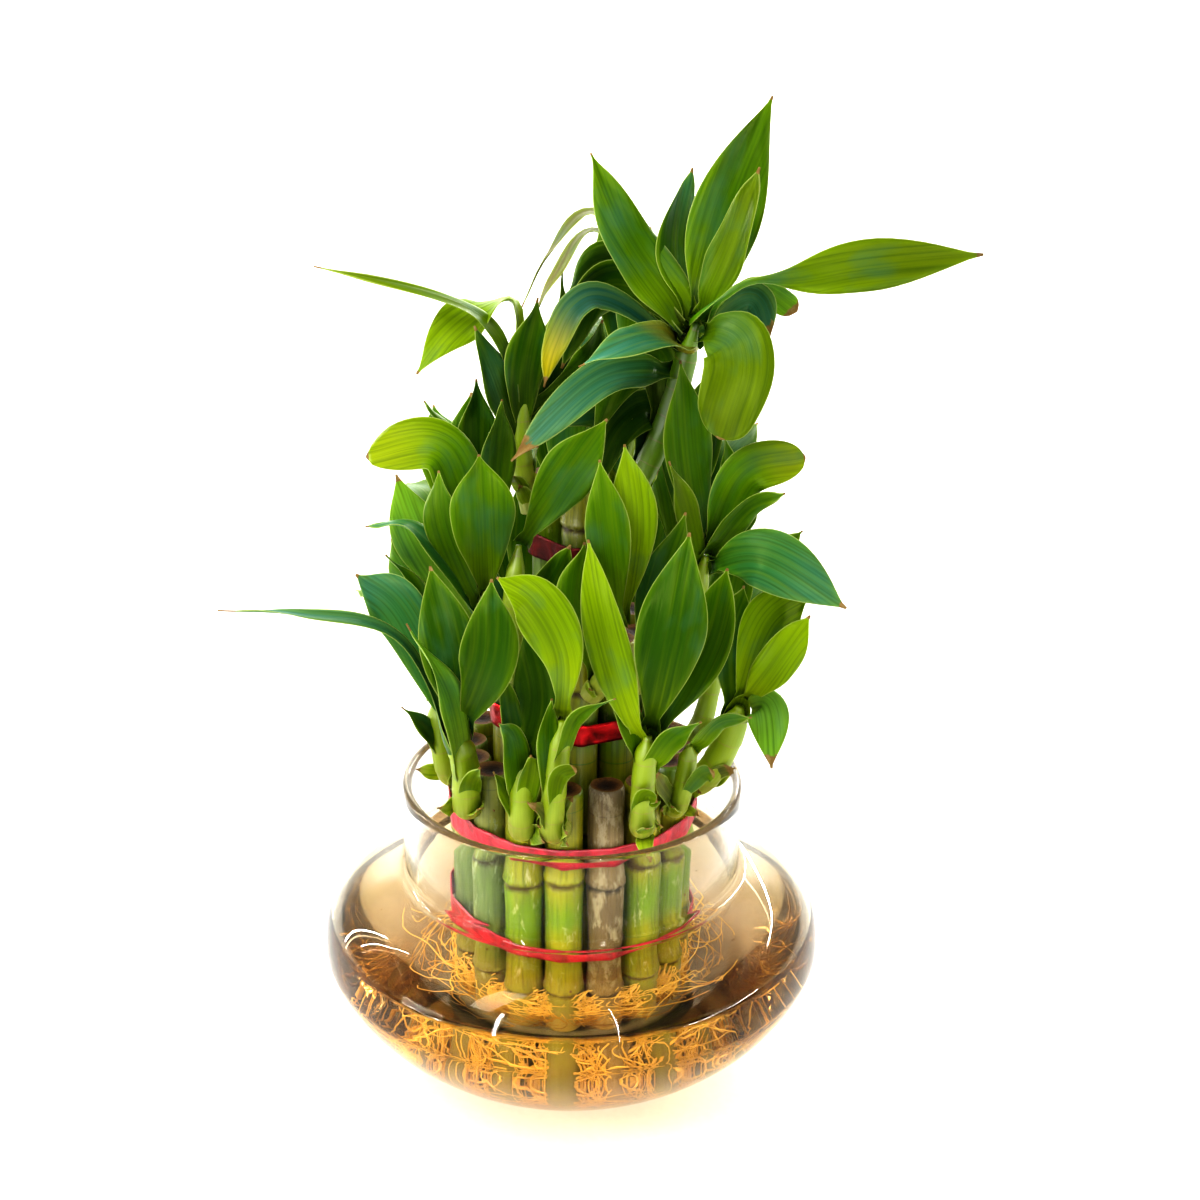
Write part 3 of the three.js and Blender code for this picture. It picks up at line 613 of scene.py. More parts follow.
def cane_colour(tree, where, knot, fibre, fresh, sunny, shade):
    """Green below each knot and yellower above it, in long patches, with duller fibres."""
    patch = drawn_out(tree, where, CANE_PATCHES, 3)
    span = add_node(tree, "ShaderNodeMapRange", {0: knot, 1: -KNOT_SPACING / 2, 2: KNOT_SPACING / 2})
    under = add_node(tree, "ShaderNodeValToRGB", {0: span}, stops=[
        (0, "#000000"), (0.25, "#CFCFCF"), (0.6, "#000000"), (1, "#000000"),
    ])
    toned = add_node(tree, "ShaderNodeMath", {0: patch, 1: 1.6, 2: under}, operation="MULTIPLY_ADD")
    green = add_node(tree, "ShaderNodeMapRange", {
        0: toned, 1: 0.75, 2: 1.3,
    }, interpolation_type="SMOOTHSTEP")
    base = add_node(tree, "ShaderNodeMix", {0: green, 6: linear(sunny), 7: linear(fresh)}, data_type="RGBA")
    dull = add_node(tree, "ShaderNodeMapRange", {0: fibre, 1: 0.45, 2: 0.8, 4: 0.7})
    return add_node(tree, "ShaderNodeMix", {0: dull, 6: base, 7: linear(shade)}, data_type="RGBA")


def soaked_colour(tree, colour):
    """Cane that stands in water takes a tan stain, which fades out below the water line."""
    place = add_node(tree, "ShaderNodeTexCoord").outputs["Object"]
    height = add_node(tree, "ShaderNodeSeparateXYZ", {0: place}).outputs["Z"]
    low, high = SOAKED
    soaked = add_node(tree, "ShaderNodeMapRange", {0: height, 1: low * MM, 2: high * MM, 3: 0.8, 4: 0})
    return add_node(tree, "ShaderNodeMix", {0: soaked, 6: colour, 7: linear("#AC9158")}, data_type="RGBA")


def cane_skin(name, fresh, sunny, shade, scuff, ring, gloss_from, crust):
    """Cane skin under a thin wax: its colour runs in long patches, pale scuffs lie on it where
    it was handled, and a dark ragged ring is left at each knot."""
    material, tree, output = new_material(name)
    where = add_node(tree, "ShaderNodeAttribute", attribute_name="bark_mm").outputs["Vector"]
    knot = add_node(tree, "ShaderNodeAttribute", attribute_name="from_knot_mm").outputs["Fac"]
    fibre = drawn_out(tree, where, CANE_FIBRES, 3)
    lined = cane_colour(tree, where, knot, fibre, fresh, sunny, shade)
    wear = drawn_out(tree, where, CANE_SCUFFS, 5, 0.7)
    worn = add_node(tree, "ShaderNodeMapRange", {0: wear, 1: 0.6 - crust, 2: 0.72 - crust, 4: 0.75})
    scuffed = add_node(tree, "ShaderNodeMix", {0: worn, 6: lined, 7: linear(scuff)}, data_type="RGBA")
    near = add_node(tree, "ShaderNodeMath", {0: knot}, operation="ABSOLUTE")
    ragged = add_node(tree, "ShaderNodeMath", {0: wear, 1: 4.5, 2: near}, operation="MULTIPLY_ADD")
    dark = add_node(tree, "ShaderNodeMapRange", {0: ragged, 1: 2.5, 2: 4.0, 3: 0.9, 4: 0.0})
    ringed = add_node(tree, "ShaderNodeMix", {
        0: dark, 6: soaked_colour(tree, scuffed), 7: linear(ring),
    }, data_type="RGBA")
    gloss = add_node(tree, "ShaderNodeMapRange", {
        0: wear, 1: 0.3, 2: 0.75, 3: gloss_from, 4: gloss_from + 0.25,
    })
    relief = add_node(tree, "ShaderNodeBump", {"Height": fibre, "Distance": 0.25 * MM, "Strength": 0.35})
    pits = add_node(tree, "ShaderNodeBump", {
        "Height": wear, "Distance": (0.3 + 2 * crust) * MM, "Strength": 0.5, "Normal": relief,
    })
    skin = add_node(tree, "ShaderNodeBsdfPrincipled", {
        "Base Color": ringed, "Roughness": gloss, "Normal": pits, "Coat Weight": 0.08,
        "Coat Roughness": 0.25,
    })
    tree.links.new(skin.outputs[0], output.inputs["Surface"])
    return material


def cut_end_material():
    """Sawn cane under candle wax that has dulled: dark brown pith in the middle, paler brown wood
    round it and an olive rim of skin. All of it is kept darker than bare sawn cane, partly as
    painted shade, since the tops lie in the shade of the leaves."""
    material, tree, output = new_material("waxed_saw_cut")
    where = add_node(tree, "ShaderNodeAttribute", attribute_name="bark_mm").outputs["Vector"]
    flat = add_node(tree, "ShaderNodeVectorMath", {0: where, 1: (1, 1, 0)}, operation="MULTIPLY")
    reach = add_node(tree, "ShaderNodeVectorMath", {0: flat}, operation="LENGTH").outputs["Value"]
    grain = add_node(tree, "ShaderNodeTexNoise", {"Vector": where, "Scale": SAW_GRAIN, "Detail": 4})
    uneven = add_node(tree, "ShaderNodeMath", {0: grain, 1: 2.4, 2: reach}, operation="MULTIPLY_ADD")
    share = add_node(tree, "ShaderNodeMapRange", {0: uneven, 1: 1, 2: 7.4})
    # Partly painted shade: every stop is kept dark for tops that lie in shade under the leaves
    colour = add_node(tree, "ShaderNodeValToRGB", {0: share}, stops=[
        (0, "#1A100A"), (0.42, "#38220F"), (0.62, "#63401E"), (0.84, "#7A5A2C"), (1, "#56501F"),
    ])
    relief = add_node(tree, "ShaderNodeBump", {"Height": grain, "Distance": 0.5 * MM, "Strength": 0.6})
    wax = add_node(tree, "ShaderNodeBsdfPrincipled", {
        "Base Color": colour, "Roughness": 0.6, "Normal": relief, "Specular IOR Level": 0.2,
    })
    tree.links.new(wax.outputs[0], output.inputs["Surface"])
    return material


def knot_ring(tree, from_knot, ring):
    """How far a rounded ring beside a knot stands out, or is cut in, at each height."""
    middle, reach, height = (size * MM for size in ring)
    over = add_node(tree, "ShaderNodeMath", {0: from_knot, 1: middle}, operation="SUBTRACT")
    off = add_node(tree, "ShaderNodeMath", {0: over}, operation="ABSOLUTE")
    return add_node(tree, "ShaderNodeMapRange", {
        0: off, 1: 0, 2: reach, 3: height, 4: 0,
    }, interpolation_type="SMOOTHSTEP")


def turned_radius(tree, given, z, from_knot):
    """The even radius at each height: waisted between knots, ringed at them, bevelled on top."""
    away = add_node(tree, "ShaderNodeMath", {0: from_knot}, operation="ABSOLUTE")
    waist = add_node(tree, "ShaderNodeMapRange", {
        0: away, 1: 0, 2: WAIST_REACH * MM, 3: 0, 4: given["Waist"],
    }, interpolation_type="SMOOTHSTEP")
    below_top = add_node(tree, "ShaderNodeMath", {0: given["Top"], 1: z}, operation="SUBTRACT")
    reach, depth = (size * MM for size in TOP_BEVEL)
    bevel = add_node(tree, "ShaderNodeMapRange", {
        0: below_top, 1: 0, 2: reach, 3: depth, 4: 0,
    }, interpolation_type="SMOOTHSTEP")
    lip = knot_ring(tree, from_knot, KNOT_LIP)
    groove = knot_ring(tree, from_knot, KNOT_GROOVE)
    radius = add_node(tree, "ShaderNodeMath", {0: given["Radius"], 1: lip}, operation="ADD")
    for cut in (waist, groove, bevel):
        radius = add_node(tree, "ShaderNodeMath", {0: radius, 1: cut}, operation="SUBTRACT")
    return radius


def swollen_radius(tree, given, unit, z, radius):
    """The radius with the slow swells and hollows that each cane has of its own."""
    drawn = add_node(tree, "ShaderNodeCombineXYZ", {0: unit["X"], 1: unit["Y"], 2: z})
    way = add_node(tree, "ShaderNodeVectorMath", {0: drawn, 1: CANE_SWELLS}, operation="MULTIPLY")
    swell = add_node(tree, "ShaderNodeTexNoise", {
        "Vector": way, "W": given["Seed"], "Scale": 1.0, "Detail": 2,
    }, noise_dimensions="4D")
    off_even = add_node(tree, "ShaderNodeMath", {0: swell, 1: 0.55}, operation="SUBTRACT")
    depth = add_node(tree, "ShaderNodeMath", {0: given["Roughness"], 1: SWELL_DEPTH}, operation="MULTIPLY")
    return add_node(tree, "ShaderNodeMath", {0: off_even, 1: depth, 2: radius}, operation="MULTIPLY_ADD")


def dished_height(tree, flat, up, z):
    """The height of each point, sunk towards the middle of the sawn top, where pith dries in."""
    reach = add_node(tree, "ShaderNodeVectorMath", {0: flat}, operation="LENGTH").outputs["Value"]
    inside = add_node(tree, "ShaderNodeMath", {0: 1.0, 1: reach}, operation="SUBTRACT")
    on_top = add_node(tree, "ShaderNodeMath", {0: up, 1: 0.9999}, operation="GREATER_THAN")
    dish = add_node(tree, "ShaderNodeMath", {0: inside, 1: on_top}, operation="MULTIPLY")
    return add_node(tree, "ShaderNodeMath", {0: dish, 1: -TOP_DISH * MM, 2: z}, operation="MULTIPLY_ADD")


def marked_cane(tree, given, tube, outline, z, from_knot):
    """Marks each point in millimetres with its place on the skin, which differs from cane to
    cane so that no two have one pattern, and with its height over the nearest knot."""
    own_z = add_node(tree, "ShaderNodeMath", {
        0: given["Seed"], 1: NEXT_CANE * MM, 2: z,
    }, operation="MULTIPLY_ADD")
    own_axis = add_node(tree, "ShaderNodeCombineXYZ", {2: own_z})
    own_place = add_node(tree, "ShaderNodeVectorMath", {0: outline, 1: own_axis}, operation="ADD")
    own_mm = add_node(tree, "ShaderNodeVectorMath", {0: own_place, "Scale": 1 / MM}, operation="SCALE")
    knot_mm = add_node(tree, "ShaderNodeMath", {0: from_knot, 1: 1 / MM}, operation="MULTIPLY")
    marked = add_node(tree, "GeometryNodeStoreNamedAttribute", {
        "Geometry": tube.outputs["Mesh"], "Name": "bark_mm", "Value": own_mm,
    }, data_type="FLOAT_VECTOR", domain="POINT")
    return add_node(tree, "GeometryNodeStoreNamedAttribute", {
        "Geometry": marked, "Name": "from_knot_mm", "Value": knot_mm,
    }, data_type="FLOAT", domain="POINT")


def cane_form(tree, given, tube, height):
    """The cane's points at their places, out of a plain tube of radius 1 and height 1."""
    unit = add_node(tree, "ShaderNodeSeparateXYZ", {0: add_node(tree, "GeometryNodeInputPosition")}).outputs
    up = add_node(tree, "ShaderNodeMath", {0: unit["Z"], 1: 0.5}, operation="ADD")
    z = add_node(tree, "ShaderNodeMath", {0: up, 1: height, 2: given["Bottom"]}, operation="MULTIPLY_ADD")
    half = add_node(tree, "ShaderNodeMath", {0: given["Knot Spacing"], 1: 0.5}, operation="MULTIPLY")
    other_half = add_node(tree, "ShaderNodeMath", {0: half, 1: -1}, operation="MULTIPLY")
    past_first = add_node(tree, "ShaderNodeMath", {0: z, 1: given["First Knot"]}, operation="SUBTRACT")
    from_knot = add_node(tree, "ShaderNodeMath", {0: past_first, 1: half, 2: other_half}, operation="WRAP")
    radius = swollen_radius(tree, given, unit, z, turned_radius(tree, given, z, from_knot))
    flat = add_node(tree, "ShaderNodeCombineXYZ", {0: unit["X"], 1: unit["Y"]})
    outline = add_node(tree, "ShaderNodeVectorMath", {0: flat, "Scale": radius}, operation="SCALE")
    axis = add_node(tree, "ShaderNodeCombineXYZ", {
        0: given["Centre X"], 1: given["Centre Y"], 2: dished_height(tree, flat, up, z),
    })
    place = add_node(tree, "ShaderNodeVectorMath", {0: outline, 1: axis}, operation="ADD")
    marked = marked_cane(tree, given, tube, outline, z, from_knot)
    return add_node(tree, "GeometryNodeSetPosition", {"Geometry": marked, "Position": place})


def cane_tree():
    """One cane about its own axis: waisted between knots, lipped at each knot, dished on top."""
    sizes = {
        "Centre X": 0.0, "Centre Y": 0.0, "Bottom": CANE_BOTTOM * MM, "Top": 0.1, "Radius": 6 * MM,
        "First Knot": 31 * MM, "Knot Spacing": KNOT_SPACING * MM, "Waist": WAIST * MM,
        "Row": CANE_ROW * MM, "Sides": CANE_SIDES, "Roughness": EVEN_SKIN * MM, "Seed": 1,
    }
    tree, given = named_tree("bamboo_cane", sizes, ["Bark", "Cut End"])
    height = add_node(tree, "ShaderNodeMath", {0: given["Top"], 1: given["Bottom"]}, operation="SUBTRACT")
    rows = add_node(tree, "ShaderNodeMath", {0: height, 1: given["Row"]}, operation="DIVIDE")
    tube = add_node(tree, "GeometryNodeMeshCylinder", {
        "Vertices": given["Sides"], "Side Segments": rows, "Fill Segments": 4, "Radius": 1.0, "Depth": 1.0,
    }, fill_type="TRIANGLE_FAN")
    smooth = add_node(tree, "GeometryNodeSetShadeSmooth", {
        "Geometry": cane_form(tree, given, tube, height), "Selection": tube.outputs["Side"],
        "Shade Smooth": True,
    })
    barked = add_node(tree, "GeometryNodeSetMaterial", {"Geometry": smooth, "Material": given["Bark"]})
    ended = add_node(tree, "GeometryNodeSetMaterial", {
        "Geometry": barked, "Selection": tube.outputs["Top"], "Material": given["Cut End"],
    })
    finish_tree(tree, ended)
    return tree


def cane_centre(tier, number):
    """The middle of a cane in millimetres, counted from the front of its tier towards +X."""
    angle = math.radians(tier["turn"] + 360 / tier["count"] * number)
    return Vector((tier["ring"] * math.sin(angle), -tier["ring"] * math.cos(angle), 0))


def cane_look(tier_name, number):
    """One cane in front has died, and those on the left carry a grey-green bloom."""
    if tier_name == "lower" and number == DEAD_CANE:
        return "dead"
    return "bloomed" if tier_name == "lower" and number in BLOOMED_CANES else "fresh"


def cane_values(tier, number, look):
    """The sizes of one cane, since none is cut quite as high or has its knots as high as another."""
    centre = cane_centre(tier, number)
    top = tier["top"] + UNEVEN_TOP * math.sin(number * UNEVEN_STEP)
    knot = tier["knot"] + KNOT_DRIFT * math.sin(number * KNOT_STEP)
    return {
        "Centre X": centre.x * MM, "Centre Y": centre.y * MM, "Radius": tier["radius"] * MM,
        "Top": top * MM, "First Knot": knot * MM, "Seed": number + 20 * tier["count"],
        "Roughness": (SHRUNK_SKIN if look == "dead" else EVEN_SKIN) * MM,
    }


def make_cane(tree, tier_name, number, skins, cut_end):
    look = cane_look(tier_name, number)
    values = cane_values(TIERS[tier_name], number, look)
    piece = grown_object(f"skin_{tier_name}_{number + 1}", tree, {
        **values, "Bark": skins[look], "Cut End": cut_end,
    })
    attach(piece, "root")
    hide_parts(f"cane_{tier_name}_{number + 1}")


def make_canes():
    tree = cane_tree()
    cut_end = cut_end_material()
    skins = {look: cane_skin(*skin) for look, skin in CANE_SKINS.items()}
    for tier_name, tier in TIERS.items():
        for number in range(tier["count"]):
            make_cane(tree, tier_name, number, skins, cut_end)


make_canes()

# Ribbons
# Flat red ribbons wound once round each tier and glued at the back: plain satin on the lower
# tier, foil above, which is painted darker on the top one as painted shade, since it lies in the
# shade of the leaves. They bridge from cane to cane, pucker a little, and are drawn together in
# front and to the right, the lowest one most of all.
RIBBON_THICK = 0.7
RIBBON_GAP = 0.4
RIBBON_BENDS = 7
RIBBON_BRIDGES = 3
RIBBON_ROWS = 8
RIBBON_INSET = 0.4
PUCKER = 0.16
BUNCHED_AT = 1.1
BUNCHED_EASE = 0.35
# "bunched" is the share of its width that a ribbon loses where it is drawn together
RIBBONS = [
    {"name": "ribbon_lower_low", "tier": "lower", "low": 51, "high": 61, "look": "satin", "bunched": 0.72},
    {"name": "ribbon_lower_high", "tier": "lower", "low": 85, "high": 93, "look": "satin", "bunched": 0.15},
    {"name": "ribbon_middle", "tier": "middle", "low": 120, "high": 128, "look": "foil", "bunched": 0.1},
    {"name": "ribbon_top", "tier": "top", "low": 172, "high": 180, "look": "foil_in_painted_shade", "bunched": 0.1},
]
# Face colour, colour in the folds (painted shade), share of metal, roughness and sheen
RIBBON_LOOKS = {
    "satin": ("red_satin_ribbon", "#B8182C", "#860C1E", 0.0, 0.38, 0.1),
    "foil": ("red_foil_ribbon", "#C21018", "#6C080C", 0.75, 0.3, 0.0),
    # The top ribbon's foil is painted dark red all over: painted shade, since it lies under the leaves
    "foil_in_painted_shade": ("painted_shade_foil_ribbon", "#70140F", "#420A08", 0.7, 0.45, 0.0),
}
# Threads per metre, drawn 0.4 mm high and 3 mm long, since the real ones are too fine to show
THREADS = (300, 300, 2500)
# The distance between creases in millimetres
CREASE = 4.76


def ribbon_material(name, red, deep, metallic, roughness, sheen):
    """Red ribbon: woven satin is soft and shows its fine threads, rolled foil is creased. Both keep
    their face colour where they lie flat and are painted darker in the creases, as painted shade."""
    material, tree, output = new_material(name)
    place = add_node(tree, "ShaderNodeTexCoord").outputs["Object"]
    thread = drawn_out(tree, place, THREADS, 2)
    crease = add_node(tree, "ShaderNodeTexNoise", {
        "Vector": place, "Scale": per_metre(CREASE), "Detail": 3, "Distortion": 0.6,
    })
    # Painted shade: the colour turns to the darker red of the folds in the creases
    fold_shade_share = add_node(tree, "ShaderNodeMapRange", {0: crease, 1: 0.35, 2: 0.65})
    colour = add_node(tree, "ShaderNodeMix", {0: fold_shade_share, 6: linear(deep), 7: linear(red)}, data_type="RGBA")
    rough = add_node(tree, "ShaderNodeMapRange", {0: thread, 3: roughness, 4: roughness + 0.15})
    folds = add_node(tree, "ShaderNodeBump", {"Height": crease, "Distance": 1.2 * MM, "Strength": 0.5})
    weave = add_node(tree, "ShaderNodeBump", {
        "Height": thread, "Distance": 0.1 * MM, "Strength": 0.5, "Normal": folds,
    })
    face = add_node(tree, "ShaderNodeBsdfPrincipled", {
        "Base Color": colour, "Metallic": metallic, "Roughness": rough, "Normal": weave,
        "Sheen Weight": sheen, "Sheen Roughness": 0.4, "Sheen Tint": linear("#FF9AA0"),
    })
    tree.links.new(face.outputs[0], output.inputs["Surface"])
    return material


def bent_path(tier, offset):
    """Points round the outer side of every cane, each with its way outward."""
    half = 180 / tier["count"]
    path = []
    for number in range(tier["count"]):
        centre = cane_centre(tier, number)
        for i in range(RIBBON_BENDS + 1):
            bend = half * (2 * i / RIBBON_BENDS - 1)
            angle = math.radians(tier["turn"] + 360 / tier["count"] * number + bend)
            outward = Vector((math.sin(angle), -math.cos(angle), 0))
            path.append((centre + outward * (tier["radius"] + offset), outward))
    return path


def ribbon_path(tier, offset):
    """The line that a tight ribbon takes: bent round each cane, straight from cane to cane."""
    path = bent_path(tier, offset)
    bridged = []
    for i, (point, outward) in enumerate(path):
        bridged.append((point, outward))
        if i % (RIBBON_BENDS + 1) == RIBBON_BENDS:
            after = path[(i + 1) % len(path)][0]
            bridged += [(point.lerp(after, j / RIBBON_BRIDGES), outward) for j in range(1, RIBBON_BRIDGES)]
    return bridged


def ribbon_section(plan, turn, phase):
    """The band cut across at one turn, up its inner face and down its outer one, as distances
    outward and heights in millimetres."""
    edge = 0.35 * math.sin(5 * turn + phase[0]) + 0.25 * math.sin(13 * turn + phase[1])
    narrow = 1 - plan["bunched"] * max(0, math.cos(turn - BUNCHED_AT)) ** BUNCHED_EASE
    height = (plan["high"] - plan["low"] - 2 * RIBBON_INSET) * narrow
    section = []
    for skin, rows in ((0, range(RIBBON_ROWS + 1)), (1, range(RIBBON_ROWS, -1, -1))):
        for row in rows:
            share = row / RIBBON_ROWS
            pucker = PUCKER * math.sin(9 * turn + 5 * share + phase[2]) * math.sin(math.pi * share)
            depth = RIBBON_THICK * (0.25 + 0.6 * skin) + pucker
            z = plan["low"] + RIBBON_INSET + height * share + edge * (share - 0.5) * 0.8
            section.append((depth, z))
    return section


def ring_faces(a, b, sides):
    """Faces all round between two rings of points, from the numbers of their first points."""
    return [(a + j, a + (j + 1) % sides, b + (j + 1) % sides, b + j) for j in range(sides)]


def make_ribbon(plan, material):
    chance = random.Random(plan["name"])
    phase = [chance.uniform(0, 6) for _ in range(3)]
    path = ribbon_path(TIERS[plan["tier"]], RIBBON_GAP)
    count = len(path)
    verts = []
    for i, (point, outward) in enumerate(path):
        for depth, z in ribbon_section(plan, 2 * math.pi * i / count, phase):
            verts.append((point + outward * depth + Vector((0, 0, z))) * MM)
    ring = 2 * (RIBBON_ROWS + 1)
    faces = []
    for i in range(count):
        faces += ring_faces(i * ring, (i + 1) % count * ring, ring)
    piece = mesh_object(plan["name"] + "_band", verts, faces, [material])
    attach(piece, "root")
    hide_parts(plan["name"])


def make_ribbons():
    looks = {look: ribbon_material(*values) for look, values in RIBBON_LOOKS.items()}
    for plan in RIBBONS:
        make_ribbon(plan, looks[plan["look"]])


make_ribbons()

# Shoots
# Each shoot is one growth out of the side of its cane: a fleshy stem that is ringed where old
# leaves fell, small scales that clasp its foot, and long leaves whose bases wrap the stem. A
# leaf is a thin gutter-shaped blade with a waxy skin, parallel veins and a pale margin.
# The height at which the shoots of each tier break out of their canes
SHOOTS_FROM = {"lower": 98.5, "middle": 137, "top": 186}
STEM_SIDES = 20
STEM_ROWS = 44
# From one leaf scar to the next, then the stem's colours at its foot and higher up
STEM_RING = 6.5
STEM_SKIN = ("#B6B858", "#94AA0E")
SCALES = 3
TIP_WIDTH = 0.7
LEAF_ROWS = 28
LEAF_ACROSS = 8
LEAF_THICK = 0.5
TIP_POWER = 1.15
# Along a leaf, from 0 to 1: where its base lets go of the stem, and where its twist runs
SHEATH = 0.2
TWIST_FROM = 0.3
TWIST_TO = 0.7
# A midrib starts inside the stem, at this share of the stem's radius from its middle
ROOT_SHARE = 0.55
# The ways that leaves in front and behind turn their faces
FRONT = Vector((0, -0.88, 0.47))
UP = Vector((0, 0, 1))
# Leaf outlines: width of the neck, place of the widest part, how late the leaf widens, and the
# width that a blunt tip keeps, as shares of the whole
SHAPES = {
    "pointed": {"neck": 0.22, "widest": 0.56, "rise": 1.9, "tip_share": 0},
    "lance": {"neck": 0.3, "widest": 0.46, "rise": 1.3, "tip_share": 0},
    "blunt": {"neck": 0.24, "widest": 0.44, "rise": 1.5, "tip_share": 0.45},
    "late": {"neck": 0.24, "widest": 0.74, "rise": 6, "tip_share": 0},
    "broad": {"neck": 0.7, "widest": 0.35, "rise": 1, "tip_share": 0},
}
# Leaf colours at the base, the middle and the tip, and the length of the dry tip in millimetres
LEAF_LOOKS = {
    "fresh": ("#6E8C04", "#456C02", "#507602", 1.0),
    "lime": ("#92A806", "#789602", "#88A404", 1.2),
    "green": ("#527402", "#3E6602", "#466E02", 1.0),
    "deep": ("#3C5A02", "#305602", "#386002", 1.2),
    "dark": ("#324E04", "#2A5204", "#325C06", 1.5),
    "teal": ("#467A1E", "#3A7640", "#468062", 2),
    "banded": ("#6A8A02", "#32580A", "#3A7652", 1.5),
    "blue": ("#365E2E", "#346A4E", "#4A7C6A", 7),
    # The sheen look paints the leaf's sheen into its colours: a painted highlight, golden at the base and
    # blue-grey towards the tip
    "sheen": ("#8A7E12", "#286246", "#3A7E66", 2),
    "olive": ("#628204", "#5A7202", "#506204", 2),
    "folded": ("#628204", "#5A7202", "#506204", 0.2),
    "sunset": ("#68A004", "#647E02", "#64780A", 1.5),
    "pale": ("#8AA83C", "#70A038", "#78A82C", 3),
    "gilded": ("#1E4A3C", "#2C5A4C", "#C4AE14", 4),
    "straw": ("#566032", "#6A683C", "#8F7448", 5),
    "scale": ("#98A828", "#90A420", "#9A9A50", 1.5),
    "thorn": ("#4C7402", "#5A8402", "#94A408", 0.5),
}
